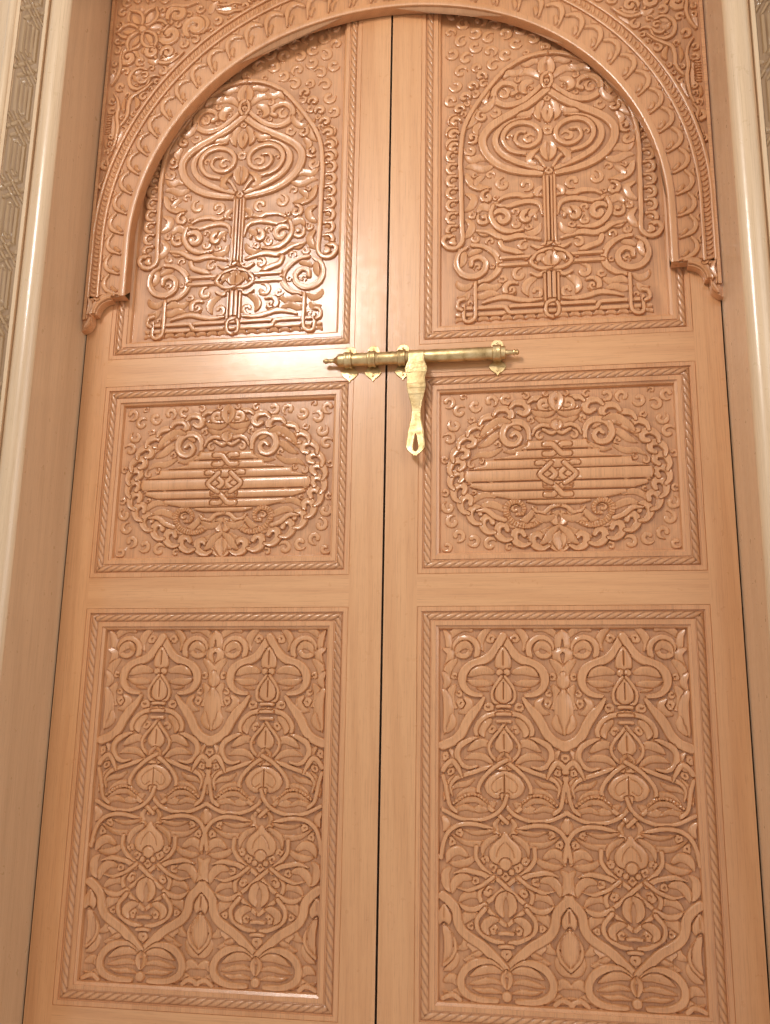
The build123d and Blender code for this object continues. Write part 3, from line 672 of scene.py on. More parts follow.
MIDDLE_LEAVES = """
# leaves round the bars
leaf 9 8: 66 268, 84 282, 108 280, 132 262, 146 244
leaf 7 7.5: 94 262, 112 256, 126 244, 142 236
leaf 6 7: 100 232, 120 222, 140 222, 156 212
leaf 5 7: 52 242, 64 232, 80 226, 96 226
leaf 7 8: 40 120, 54 102, 72 90, 94 92, 112 104
leaf 7 7.5: 88 112, 104 122, 124 128, 144 120
leaf 6 7: 112 142, 130 146, 146 140, 158 126
leaf 7 7.5: 16 112, 28 100, 42 94, 56 84
leaf 6 7: 14 84, 28 74, 44 70, 58 64
leaf 6 7: 118 170, 134 178, 150 176, 162 166
"""
MIDDLE_SCROLLS = """
# scrolls above and below the bars
band 6.5 8.5 .4 .6: 58 226, 50 250, 54 272, 70 282, 90 276, 98 258, 90 242, 74 240, 66 252, 74 262, 82 256
leaf 7 8.5: 84 282, 104 286, 126 272, 140 254
band 5.5 8.5 .4 .6 teeth=5: 24 108, 36 92, 56 86, 78 92, 92 108, 90 126, 74 132, 62 122, 64 110, 74 108
band 5 8 .9 .4: 96 98, 112 104, 128 116, 146 116
# crowns in the middle, above and below
scroll 4.6 8 .7 .9: 21 314 12 3 1.1 250 1 18
leaf 6 8: 0 338, 8 326, 6 312, 0 300
leaf 6 8: 4 298, 18 294, 34 296, 46 304
leaf 6 8: 0 290, 10 282, 24 282, 40 290
band 3.4 8.5: -24 266, -10 258, 0 262, 10 258, 24 266
band 4 8 1 .5: 0 276, 12 272, 26 274, 38 268, 44 256
leaf 6 8: 0 282, 5 274, 0 264
leaf 7 8.5: 0 112, 9 104, 8 94, 0 86
band 4 8 1 .5: 0 124, 14 120, 26 110, 38 112, 46 120
leaf 6 8: 8 104, 22 98, 34 102, 44 108
leaf 7 8: 2 84, 14 74, 24 60, 34 52
leaf 7 8: 0 74, 6 62, 2 50, 0 40
"""
WREATH_LINKS, WREATH_X, WREATH_Z, WREATH_MIDDLE = 17, 183, 130, 186
WREATH_LINK = ((-16, 7), (-5, 13), (10, 8), (14, -6), (5, -12), (-3, -6))
BARS = ((229, 245, 66, 52), (212, 227, 116, 74), (193.5, 210, 160, 130), (170, 192, 165, 165),
        (153, 168, 132, 156), (136, 151, 84, 118), (126, 134, 40, 56))
KNOTS = ((219, 228, 237), (143, 152, 160))


def middle_panel_relief(step):
    """Bars with a knot, in an oval wreath of twisted links, with scrolls round it."""
    axis = 252.0
    r = Relief(36, 468, 36, 346, step, unit_copies(axis))
    carver = Carver(r, (7, 0.35, 0.08))
    carver.rows(MIDDLE_LEAVES)
    for k in range(WREATH_LINKS + 1):
        a = -np.pi / 2 + np.pi * k / WREATH_LINKS
        cx, cz = WREATH_X * np.cos(a), WREATH_MIDDLE + WREATH_Z * np.sin(a)
        nx, nz = np.cos(a) / WREATH_X, np.sin(a) / WREATH_Z
        n = np.hypot(nx, nz)
        nx, nz = nx / n, nz / n
        carver.band([(cx - p * nz + q * nx, cz + p * nx + q * nz) for p, q in WREATH_LINK], 6.6, 9, 0.5, 0.7)
    carver.rows(MIDDLE_SCROLLS)
    both, r.copies = r.copies, r.copies[:1]
    for z0, z1, low, high in BARS:
        half, middle = (z1 - z0) / 2, (z0 + z1) / 2
        end = high + half * 0.3
        r.plate([(-low, z0), (low, z0), (end, middle), (high, z1), (-high, z1), (-end, middle)], 8.5,
                edge=half * 0.9, groove=1.3, smooth=False)
    for flip in (1, -1):
        for low, middle, high in KNOTS:
            carver.band([(-22 * flip, low), (-9 * flip, low), (0, middle), (9 * flip, high), (22 * flip, high)],
                        5, 9, groove=1.6)
    r.copies = both
    carver.band([(36, 202), (26, 202), (14, 192), (4, 181), (14, 171), (22, 164)], 4.6, 9.5, groove=1.8)
    carver.band([(12, 202), (22, 192), (32, 181), (22, 170), (12, 164)], 4.2, 9, groove=1.8)
    r.fill(lambda x, z: (x > 40) & (x < 464) & (z > 40) & (z < 342), axis, 6.8, 14, 4.6, 2.4)
    r.h *= 0.66
    return r


UPPER_LEAVES = """
# leaves between the horseshoe and the onion
leaf 8: 150 1812, 140 1794, 146 1776, 158 1762
curl 128 1786 12 80 -1
curl 148 1740 13 300 -1
leaf 7: 132 1770, 142 1758, 138 1744
leaf 7: 116 1812, 124 1826, 112 1842
leaf 8: 110 1672, 128 1668, 148 1676, 162 1674
leaf 8: 118 1690, 134 1694, 150 1690, 164 1700
leaf 9 8: 160 1660, 152 1640, 134 1628, 112 1626
leaf 6: 126 1652, 138 1644, 144 1632
curl 120 1606 14 100 -1
leaf 8: 160 1616, 146 1606, 150 1590, 164 1578
leaf 8: 100 1592, 114 1582, 130 1586, 140 1572
curl 126 1560 14 40 -1
leaf 8: 160 1560, 150 1546, 156 1530, 166 1520
leaf 7: 140 1536, 128 1528, 112 1532, 100 1524
leaf 7: 176 1498, 166 1486, 168 1470, 176 1458
# lower field: scrolls either side of the knot
band 6.5 8.5 .6 .6: 150 1504, 128 1500, 108 1486, 98 1466, 102 1446, 120 1430, 144 1424
band 6.5 8.5 .5 .7: 160 1500, 176 1488, 180 1464, 168 1444, 146 1438, 128 1448, 124 1466, 136 1478, 150
  1474, 152 1462
leaf 6: 132 1492, 146 1490, 158 1482
curl 76 1406 17 130 -1 8
curl 76 1406 8 300 -1 8.5
leaf 8: 96 1418, 112 1412, 128 1416, 142 1408
leaf 8: 30 1428, 44 1420, 50 1406, 44 1392
leaf 7: 100 1398, 116 1402, 134 1396, 150 1402
leaf 7: 150 1424, 162 1416, 176 1422, 180 1432
leaf 7: 156 1404, 166 1394, 178 1398
band 5.5 8 .5 .4: 20 1384, 44 1382, 66 1386, 90 1392, 112 1388, 130 1382
# scroll pairs beside the column
band 5.5 8 .5 .5: 12 1600, 30 1604, 44 1600, 60 1606, 84 1604, 98 1596
band 5.5 8 .5 .5: 14 1560, 20 1582, 38 1590, 60 1588, 84 1582, 104 1588
curl 44 1556 17 190 -1 8.5
curl 92 1558 19 20 1 8.5
leaf 6: 24 1570, 34 1566, 40 1556
band 6 8.5 .4 .6: 52 1530, 70 1528, 90 1532, 106 1546, 114 1566, 108 1586
band 6 8.5 .5 .5: 20 1508, 40 1514, 60 1518, 84 1514, 100 1520, 118 1530, 140 1534
leaf 7: 18 1540, 24 1528, 36 1522, 50 1524
leaf 6: 14 1620, 24 1612, 26 1600
band 6 8.5 .9 .7: 96 1506, 90 1494, 74 1488, 60 1482, 48 1470
# knot with its bars
band 3.8 9 groove=1.8: 36 1473, 60 1473, 94 1473
band 3.8 9 groove=1.8: 30 1458, 60 1458, 96 1458
band 4 9 .7 1: 38 1438, 24 1432, 12 1440, 0 1446
band 4 9 .7 1: 36 1496, 24 1490, 12 1494, 0 1500
band 3.8 9: 0 1486, 14 1484, 28 1476, 38 1462, 28 1450, 12 1446, -4 1452, -16 1464
leaf 8 8.5: 0 1480, 8 1472, 8 1460, 0 1452
leaf 5 8.5: 12 1476, 22 1470, 26 1460
# column
band 3.4 9: 3.6 1640, 3.6 1580, 3.6 1506
band 2.6 8.5: 10 1648, 10 1580, 10 1504, 16 1496
band 4 9: 4.5 1436, 4.5 1410, 4.5 1380
band 2.6 8.5: 12.5 1434, 12.5 1410, 12.5 1380
"""
UPPER_BARS = """
band 4 9 groove=1.8: -4 1372, 34 1372, 76 1372, 84 1366, 92 1359, 130 1359, 178 1359
band 4 9 groove=1.8: -4 1359, 34 1359, 76 1359, 84 1366, 92 1372, 130 1372, 176 1372
band 3.6 9.5: 144 1424, 144 1392, 144 1358, 150 1347, 160 1345, 166 1352, 166 1378
band 3.6 9: 166 1392, 176 1388, 178 1376, 170 1370
band 3.4 9.5: -4 1380, 8 1376, 12 1366, 10 1352, 0 1346
"""
UPPER_BANDS = """
band 4.8 9.5: 186 1524, 200 1526, 206 1516, 198 1503, 184 1500, 172 1508, 168 1522, 170 1560, 171 1640,
  172 1695, 167 1752, 153 1791, 130 1828, 112 1853, 90 1880, 66 1899, 43 1911, 20 1917, 0 1919
band 5 9: 186 1518, 190 1513, 184 1510
# onion of two bands, with its tip
band 8.5 9.5 .8 .7: 0 1834, 14 1822, 34 1806, 62 1790, 92 1774, 116 1756, 128 1734, 124 1708, 106 1682, 80
  1664, 50 1654, 16 1648
band 6.5 9 .5 .8: 34 1776, 54 1772, 80 1762, 100 1742, 102 1720, 90 1698, 66 1680, 40 1668, 14 1658
band 5.2 9 .6 .6: 8 1662, 22 1684, 44 1694, 66 1700, 82 1714, 88 1736, 76 1756, 54 1764, 30 1758, 16 1742,
  18 1722, 34 1710, 52 1712, 64 1726, 58 1742, 44 1742
leaf 7 8: 4 1716, 10 1704, 8 1690, 2 1676
leaf 7 8: 26 1668, 38 1680, 30 1696, 16 1704
leaf 8 8: 8 1808, 16 1796, 20 1780, 14 1766
leaf 6 8.5: 0 1800, 6 1786, 4 1770, 0 1758
leaf 6 7.5: 26 1794, 36 1784, 50 1782, 62 1778
# scrolls over the onion
band 6.5 8.5 .7 .7: 10 1846, 26 1830, 50 1812, 78 1806, 100 1818, 104 1840, 88 1856, 66 1852, 58 1838, 68 1830
leaf 8 8: 28 1856, 44 1852, 48 1838, 38 1828
leaf 7 8: 104 1826, 112 1810, 126 1800, 136 1806
leaf 8 8: 14 1862, 24 1874, 40 1880, 54 1872
leaf 7 8: 48 1884, 60 1878, 74 1880, 86 1868
leaf 6 8: 10 1898, 24 1902, 38 1896, 50 1896
leaf 8 8.5: 0 1908, 9 1894, 9 1878, 0 1862
band 3.6 8.5: 0 1872, 8 1866, 10 1852, 4 1840
"""


def upper_panel_relief(step):
    """An onion-headed arch on a column, in a horseshoe band with scallops, scrolls all round."""
    centre, base = 250.0, 1299.0
    r = Relief(34, 466, 34, 794, step, unit_copies(centre))
    carver = Carver(r, (7, 0.35, 0.08), curl=(0.2, 0.95, 18, 7.5, 0.5), base=base)
    carver.rows(UPPER_LEAVES)
    for x in range(10, 175, 22):
        carver.leaf([(x, 1347), (x + 6, 1352), (x + 13, 1351), (x + 19, 1345)], 4.5)
    carver.rows(UPPER_BARS)
    for z in range(1536, 1800, 27):
        x = 178 if z < 1760 else 174
        carver.band([(x + 1, z + 12), (x + 14, z + 13), (x + 20, z + 4), (x + 16, z - 6), (x + 6, z - 9)],
                    4.6, 8, 0.6, 0.6)
        carver.leaf([(x + 3, z + 4), (x + 9, z + 5), (x + 13, z)], 3.4)
    for a in np.radians(np.arange(36, 92, 8.5)):
        cx, cz = 186 * np.sin(np.pi / 2 - a + 0.72), 1738 + 196 * np.cos(np.pi / 2 - a + 0.72)
        carver.band(spiral((cx, cz), 11, 3, 0.8, 120 + np.degrees(a), -1, 14), 4.4, 8, 0.6, 0.8)
    carver.rows(UPPER_BANDS)
    r.fill(lambda x, z: (abs(x - centre) < 206) & (z > 1503 - base) & (z < 750)
           | (abs(x - centre) < 181) & (z > 1343 - base) & (z < 1506 - base), centre, 7.4, 16, 4.8, 2.2)
    r.h *= 0.68
    return r


# Meshes from height fields

BOARD_RISE = 0.4
CARVED_EDGE, LEVEL_EDGE = math.radians(42), math.radians(9)
LEVEL = 0.9995
STEP = 1.25
SHARE = 1.0


def new_object(name, verts, faces, material):
    """An object from arrays of corners (metres) and of quads."""
    mesh = bpy.data.meshes.new(name)
    verts = np.asarray(verts, dtype=np.float32)
    faces = np.asarray(faces, dtype=np.int32)
    mesh.vertices.add(len(verts))
    mesh.vertices.foreach_set("co", verts.ravel())
    sides = faces.shape[1]
    mesh.loops.add(faces.size)
    mesh.loops.foreach_set("vertex_index", faces.ravel())
    mesh.polygons.add(len(faces))
    mesh.polygons.foreach_set("loop_start", np.arange(0, faces.size, sides, dtype=np.int32))
    mesh.polygons.foreach_set("use_smooth", np.full(len(faces), True))
    mesh.update(calc_edges=True)
    mesh.validate()
    mesh.materials.append(material)
    return link(bpy.data.objects.new(name, mesh))


def points_of(X, Y, Z):
    """Grids of millimetres as a list of corners in metres."""
    return np.stack([X, Y, Z], axis=-1).reshape(-1, 3) * MM


def mark(obj, values):
    """Stores how open the carving lies at each corner of a mesh, from which the carved materials paint shade in
    hollows and highlights on crests.
    """
    attribute = obj.data.attributes.new("cavity", "FLOAT", "POINT")
    attribute.data.foreach_set("value", np.asarray(values, dtype=np.float32).ravel())


def hang(obj, body):
    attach(obj, body)


def grid_faces(rows, columns, keep=None):
    index = np.arange(rows * columns).reshape(rows, columns)
    quads = np.stack([index[:-1, :-1], index[:-1, 1:], index[1:, 1:], index[1:, :-1]], axis=-1).reshape(-1, 4)
    if keep is not None:
        ok = keep[:-1, :-1] & keep[:-1, 1:] & keep[1:, 1:] & keep[1:, :-1]
        quads = quads[ok.ravel()]
    return quads


def thin_out(obj, triangles):
    """Collapses a dense mesh to about a number of triangles."""
    count = sum(len(p.vertices) - 2 for p in obj.data.polygons)
    if count > triangles:
        modifier = obj.modifiers.new("thin", "DECIMATE")
        modifier.ratio = triangles / count
        shaped = obj.evaluated_get(bpy.context.evaluated_depsgraph_get())
        mesh = bpy.data.meshes.new_from_object(shaped)
        obj.modifiers.clear()
        old = obj.data
        obj.data = mesh
        mesh.name = obj.name
        bpy.data.meshes.remove(old)
    for polygon in obj.data.polygons:
        polygon.use_smooth = True


def blurred(field, radius):
    """A box blur, done twice."""
    for _ in range(2):
        for axis in (0, 1):
            pad = [(0, 0), (0, 0)]
            pad[axis] = (radius + 1, radius)
            total = np.cumsum(np.pad(field, pad, mode="edge"), axis=axis)
            hi = np.take(total, range(2 * radius + 1, total.shape[axis]), axis=axis)
            lo = np.take(total, range(0, total.shape[axis] - 2 * radius - 1), axis=axis)
            field = (hi - lo) / (2 * radius + 1)
    return field


def cavity_of(relief):
    """How open the carving is: low in grooves and on the ground, high on crests, from 0 to 1."""
    near = relief.h - blurred(relief.h, 2)
    far = relief.h - blurred(relief.h, 6)
    return np.clip(0.5 + 0.16 * near + 0.075 * far, 0, 1)


def cavity_at(relief, u, v):
    """The openness at places on the carving, read between the grid's points."""
    field = cavity_of(relief)
    i = np.clip((u - relief.x[0]) / relief.step[0], 0, len(relief.x) - 1.001)
    j = np.clip((v - relief.z[0]) / relief.step[1], 0, len(relief.z) - 1.001)
    i0, j0 = i.astype(int), j.astype(int)
    fi, fj = i - i0, j - j0
    return (field[j0, i0] * (1 - fi) * (1 - fj) + field[j0, i0 + 1] * fi * (1 - fj)
            + field[j0 + 1, i0] * (1 - fi) * fj + field[j0 + 1, i0 + 1] * fi * fj)


def corners(mesh):
    co = np.zeros(len(mesh.vertices) * 3, np.float32)
    mesh.vertices.foreach_get("co", co)
    return co.reshape(-1, 3)


def carved_board(name, relief, left, bottom, node, triangles):
    """A closed board with a carved face, in the place of a plain panel; left and bottom are where the
    relief's own measures start, in metres."""
    low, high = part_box(node)
    low.y = LEAF_FACE + PANEL_GROUND * MM
    xs = np.concatenate([[low.x], left + relief.x * MM, [high.x]])
    zs = np.concatenate([[low.z], bottom + relief.z * MM, [high.z]])
    h = np.pad(relief.h, 1)
    X, Z = np.meshgrid(xs, zs)
    Y = low.y - BOARD_RISE * MM - h * MM
    Y[0], Y[-1], Y[:, 0], Y[:, -1] = low.y, low.y, low.y, low.y
    obj = new_object(name, np.stack([X, Y, Z], axis=-1).reshape(-1, 3), grid_faces(*X.shape), carved)
    thin_out(obj, triangles)
    close_back(obj, high.y)
    co = corners(obj.data)
    mark(obj, cavity_at(relief, (co[:, 0] - left) / MM, (co[:, 2] - bottom) / MM))
    return obj


def close_back(obj, back):
    """Runs a sheet's outer edge back to a plane and closes it there."""
    bm = bmesh.new()
    bm.from_mesh(obj.data)
    rim = [e for e in bm.edges if e.is_boundary]
    made = bmesh.ops.extrude_edge_only(bm, edges=rim)["geom"]
    for v in (g for g in made if isinstance(g, bmesh.types.BMVert)):
        v.co.y = back
    rear = [g for g in made if isinstance(g, bmesh.types.BMEdge) and g.is_boundary]
    bmesh.ops.contextual_create(bm, geom=rear)
    settle(bm, obj)


def settle(bm, obj, level_edge=LEVEL_EDGE):
    """Turns all faces outwards, keeps carved edges crisp and writes the mesh back."""
    bmesh.ops.recalc_face_normals(bm, faces=bm.faces[:])
    for edge in bm.edges:
        faces = edge.link_faces
        level = any(abs(f.normal.y) > LEVEL for f in faces)
        edge.smooth = len(faces) == 2 and edge.calc_face_angle() < (level_edge if level else CARVED_EDGE)
    bm.to_mesh(obj.data)
    bm.free()


def moved_copy(obj, name, dx):
    twin = bpy.data.objects.new(name, obj.data.copy())
    co = corners(twin.data)
    co[:, 0] += dx
    twin.data.vertices.foreach_set("co", co.ravel())
    twin.data.update()
    return link(twin)


def carve_panels():
    """Each design is made once; the right leaf has the same board as the left one."""
    designs = (("lower", lower_panel_relief, 96000), ("middle", middle_panel_relief, 66000),
               ("upper", upper_panel_relief, 116000))
    for level, design, triangles in designs:
        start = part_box(f"left_{level}_moulding")[0]
        left_board = carved_board(f"left_{level}_carving", design(STEP), start.x, start.z,
                                  f"left_{level}_panel", int(triangles * SHARE))
        right_board = moved_copy(left_board, f"right_{level}_carving",
                                 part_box(f"right_{level}_moulding")[0].x - start.x)
        for side, board in (("left", left_board), ("right", right_board)):
            hang(board, side + "_leaf")
            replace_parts(board, f"{side}_{level}_panel")


carve_panels()


# Twisted ropes over the panel mouldings

ROPE_HALF, ROPE_PITCH, ROPE_IN = 6.75, 16.6, 17.5
ROPE_FLOOR, ROPE_CREST = 3.6, 0.7


def rope_strip(length):
    """One side of a rope, mitred at both ends: along, across and height, and how open each corner lies."""
    across = np.sin(np.radians(np.array([-90, -60, -30, 0, 30, 60, 90]))) * ROPE_HALF
    phases = np.array([0.0, 0.09, 0.22, 0.38, 0.56, 0.74, 0.88, 0.96])
    turns = int(length / ROPE_PITCH) + 6
    s = ((np.arange(turns)[:, None] - 3 + phases[None, :]) * ROPE_PITCH).ravel()
    S = s[:, None] - 1.6 * across[None, :]
    W = np.broadcast_to(across, S.shape)
    phase = np.broadcast_to(np.tile(phases, turns)[:, None], S.shape)
    swell = np.abs(np.sin(np.pi * phase)) ** 0.5
    round_ = np.sqrt(np.clip(1 - (W / ROPE_HALF) ** 2, 0, 1))
    H = (ROPE_FLOOR + ROPE_CREST) * round_ ** 0.9 * (0.62 + 0.38 * swell) - 0.25
    low, high = W, length - W
    within = np.flatnonzero(((S > low) & (S < high)).any(axis=1))
    rows = slice(within[0] - 1, within[-1] + 2)
    # Low between the strands and on the rope's flanks, where the material paints shade.
    cavity = np.clip(0.95 * swell - 0.42, 0, 0.6) * (0.35 + 0.65 * round_)
    return tuple(field[rows] for field in (np.clip(S, low, high), W, H, cavity))


def rope_round(name, node):
    """The four sides of the rope in one panel moulding, as one mesh over its bead."""
    low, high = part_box(node)
    left, right = low.x / MM + ROPE_IN, high.x / MM - ROPE_IN
    bottom, top = low.z / MM + ROPE_IN, high.z / MM - ROPE_IN
    sides = [((left, bottom), (0, 1), (1, 0), top - bottom), ((left, top), (1, 0), (0, -1), right - left),
             ((right, top), (0, -1), (-1, 0), top - bottom), ((right, bottom), (-1, 0), (0, 1), right - left)]
    verts, faces, open_, count = [], [], [], 0
    for (x, z), (ax, az), (ix, iz), length in sides:
        S, W, H, cavity = rope_strip(length)
        X, Z = x + ax * S + ix * W, z + az * S + iz * W
        verts.append(points_of(X, FACE + ROPE_FLOOR - H, Z))
        first, last = np.arange(0, S.size, S.shape[1]), np.arange(S.shape[1] - 1, S.size, S.shape[1])
        behind = np.stack([last[:-1], first[:-1], first[1:], last[1:]], axis=-1)
        faces.append(np.vstack([grid_faces(*S.shape), behind]) + count)
        open_.append(cavity.ravel())
        count += S.size
    obj = new_object(name, np.vstack(verts), np.vstack(faces), carved)
    mark(obj, np.concatenate(open_))
    fill_ends(obj)
    return obj


def fill_ends(obj):
    """Closes what a mesh has left open."""
    bm = bmesh.new()
    bm.from_mesh(obj.data)
    bmesh.ops.holes_fill(bm, edges=[e for e in bm.edges if e.is_boundary], sides=0)
    settle(bm, obj)


def lay_ropes():
    for side in ("left", "right"):
        for level in ("lower", "middle", "upper"):
            hang(rope_round(f"{side}_{level}_rope", f"{side}_{level}_moulding"), side + "_leaf")


lay_ropes()


# The arch board's ring, in its own measures: along the arch, and outwards from it

ARCH, RIDGE, OUTER_BEAD = (527, 2034, 37, 6), (586, 2118, 22, 4), (606, 2142, 22, 4)
SPANDREL_EDGE = (611, 2147, 22, 4)
SOLE = 1425
RING_FACE, RING_RIM, RIDGE_HALF = 21.5, 13.0, 3.0
SUNK = 1.2


def arch_line(half, crown, offset, lift, count=1400):
    """Points and outward directions along a three-centred arch, from its left foot over the crown; the
    side arcs' centres stand off the middle by the offset, and the crown lies higher by the lift."""
    radius = half - offset
    spring = crown - radius - lift
    drop = (offset ** 2 - lift ** 2) / (2 * lift)
    turn = math.atan2(drop, offset)
    top_radius = crown - spring + drop
    zs = np.linspace(SOLE, spring, 90, endpoint=False)
    pieces = [np.stack([np.full(90, -half), zs, np.full(90, -1.0), np.zeros(90)], axis=1)]
    for x, z, r, a in ((-offset, spring, radius, np.linspace(0, turn, 420, endpoint=False)),
                       (0, spring - drop, top_radius, np.linspace(turn, math.pi / 2, 120))):
        pieces.append(np.stack([x - r * np.cos(a), z + r * np.sin(a), -np.cos(a), np.sin(a)], axis=1))
    left = np.vstack(pieces)
    line = np.vstack([left, left[::-1][1:] * (-1, 1, -1, 1)])
    along = np.concatenate([[0], np.cumsum(np.hypot(*np.diff(line[:, :2], axis=0).T))])
    even = np.linspace(0, along[-1], count)
    columns = np.stack([np.interp(even, along, line[:, k]) for k in range(4)], axis=1)
    return even, columns[:, :2], columns[:, 2:]


def gap_to(points, normals, other):
    """How far each point's normal runs to another line."""
    rel = other[None, :, :] - points[:, None, :]
    off = rel[..., 0] * normals[:, None, 1] - rel[..., 1] * normals[:, None, 0]
    ahead = (rel * normals[:, None, :]).sum(axis=-1)
    pick = np.argmin(np.abs(off) + 1e3 * (ahead < 5), axis=1)
    return ahead[np.arange(len(points)), pick]


def bent_strip(name, relief, ground, near, far, triangles):
    """A relief laid along the arch, its height running from one distance out from it to another."""
    s, points, normals = arch_line(*ARCH)
    columns = [np.interp(relief.x, s, c) for c in (*points.T, *normals.T, near, far)]
    px, pz, nx, nz, lo, hi = (c[None, :] for c in columns)
    share = np.linspace(0, 1, len(relief.z))[:, None]
    out = lo + share * (hi - lo)
    points = points_of(px + nx * out, FACE - ground - relief.h, pz + nz * out)
    lay_sheet(name, points, grid_faces(*out.shape), cavity_of(relief), ground, triangles)


def lay_sheet(name, points, faces, openness, ground, triangles, material=carved):
    """A carved sheet on the frame, thinned out and closed behind, a little below its ground."""
    obj = new_object(name, points, faces, material)
    mark(obj, openness)
    thin_out(obj, triangles)
    close_back(obj, LEAF_FACE - (ground - SUNK) * MM)
    hang(obj, "frame")


def ring_relief(length, step):
    """Hooks that follow each other up the ring, each with a drop in its bend."""
    middle = length / 2
    r = Relief(0, length, RING_RIM, 55.5, step, [lambda x, z: (x, z), lambda x, z: (length - x, z)])
    pitch = middle / round(middle / 44.0)
    for k in range(int(round(middle / pitch)) + 1):
        s = k * pitch + 20
        r.stroke([(s + 28, 38), (s + 18, 45), (s + 6, 46.5), (s - 5, 40), (s - 11, 29), (s - 16, 18)],
                 4.3, 4.4, taper=(0.6, 0.4), groove=1.6)
        r.stroke([(s + 1, 30), (s - 5, 25), (s - 8, 18)], 3.4, 3.9, taper=(0.9, 0.2), form="leaf")
        r.stroke([(s + 31, 54), (s + 25, 50), (s + 17, 53)], 2.2, 3.2, taper=(0.5, 0.5))
    return r


def dots_relief(length, step):
    """Small slanting lozenges in the channel between the ridges."""
    r = Relief(0, length, 0, 15, step, [lambda x, z: (x, z), lambda x, z: (length - x, z)])
    pitch = (length / 2) / round(length / 2 / 9.6)
    for k in range(int(round(length / 2 / pitch))):
        s = (k + 0.5) * pitch
        r.stroke([(s - 2.6, 3), (s, 7.5), (s + 2.6, 12)], 2.6, 2.6, taper=(0.4, 0.4), groove=0.6)
    return r


def swept(name, line, profile, count=700):
    """A smooth edging along an arch; the profile gives distances out from the line, and heights."""
    _, points, normals = arch_line(*line, count)
    out, rise = np.array(profile).T
    X = points[:, :1] + normals[:, :1] * out
    Z = points[:, 1:] + normals[:, 1:] * out
    obj = new_object(name, points_of(X, np.broadcast_to(FACE - rise, X.shape), Z), grid_faces(*X.shape), carved)
    # Lower on the profile counts as less open, so the material paints shade at the edging's foot.
    mark(obj, np.tile(np.interp(rise, (RING_FACE, RING_FACE + 4), (0.25, 0.6)), count))
    fill_ends(obj)
    hang(obj, "frame")


def dress_arch():
    s, points, normals = arch_line(*ARCH)
    to_ridge = gap_to(points, normals, arch_line(*RIDGE, 3000)[1])
    to_bead = gap_to(points, normals, arch_line(*OUTER_BEAD, 3000)[1])
    bent_strip("arch_ring_carving", ring_relief(s[-1], STEP), RING_FACE + 0.15,
               np.full(len(s), RING_RIM - 0.5), to_ridge - RIDGE_HALF + 0.6, int(56000 * SHARE))
    bent_strip("arch_ring_beading", dots_relief(s[-1], STEP), RING_FACE + 0.15,
               to_ridge + RIDGE_HALF - 0.6, to_bead - RIDGE_HALF + 0.6, int(26000 * SHARE))
    top = RING_FACE + 5.0
    swept("arch_rim", ARCH, [(13.4, RING_FACE), (13.2, top - 0.8), (12.2, top + 0.5), (9, top + 0.8),
                             (4, top + 0.7), (1, top + 0.3), (0, top - 0.5), (-0.5, top - 2), (-0.5, 2.2)])
    half = RIDGE_HALF + 0.3
    round_top = [(half * math.cos(a), RING_FACE + 3.4 + 1.7 * math.sin(a))
                 for a in np.radians(np.arange(20, 161, 20))]
    crest = [(half, RING_FACE), *round_top, (-half, RING_FACE)]
    swept("arch_ridge", RIDGE, crest)
    swept("arch_outer_bead", OUTER_BEAD, crest)


dress_arch()


# The spandrels: curls and leaves over the ring, the same on either side

SPANDREL_GROUND = 18.0
BOARD_EDGE = 620.0
ROSETTE = (-539, 2048)
SPANDREL = """
# broad leaves towards the crown
curl -463 2076 22 200 -1
curl -476 2028 24 150 1
band 4 5 .8 .5: -515 2049, -500 2052, -487 2056
band 3.5 5 .5 .4: -487 2096, -470 2100, -445 2095, -418 2100
leaf 10: -446 2022, -434 2046, -416 2060, -398 2050, -402 2030, -420 2022
curl -420 2040 25 230 -1
leaf 7: -390 2070, -384 2086, -372 2096
band 3.6 5 .5 .5: -372 2072, -352 2066, -336 2070, -320 2068
band 3.6 5 .5 .5: -372 2088, -352 2086, -338 2090, -322 2086
# lobed leaf above the ring
band 4 5.4 .5 .5: -510 1992, -500 1966, -484 1958, -468 1960, -452 1972, -442 1982
curl -513 1990 17 60 1
curl -478 1984 15 200 -1
leaf 6: -520 1968, -506 1962, -496 1968
# round leaf at the edge, with its stem
curl -566 1980 19 100 1
band 3.6 5.2 .5 .6: -580 2002, -584 1980, -582 1958, -588 1934, -598 1916
# scroll with a long tail
band 3.4 5.4 .5 .7: -492 1926, -504 1930, -514 1926, -524 1917, -534 1915, -540 1920
band 4.2 5.4 .5 .6: -513 1922, -520 1906, -536 1900, -552 1906, -559 1920, -558 1936, -548 1948, -534
  1951, -522 1945
leaf 5: -552 1934, -544 1926, -534 1928
band 4 5.4 .5 .6: -506 1914, -520 1901, -538 1890, -552 1880, -556 1860, -556 1842, -564 1824, -574 1812
band 3.8 5.2 .5 .5: -592 1896, -582 1880, -578 1860, -580 1838, -576 1816, -577 1792, -580 1772, -586 1752
leaf 6: -542 1880, -536 1866, -540 1852
leaf 5: -566 1880, -568 1862, -566 1846
# lower curls along the board's edge
curl -596 1728 13 20 -1 wide=.36
band 3 4.8 .5 .5: -584 1752, -592 1738, -588 1720, -594 1700, -600 1684
curl -599 1676 8 60 1 wide=.38
leaf 4: -598 1790, -600 1776, -596 1764
"""


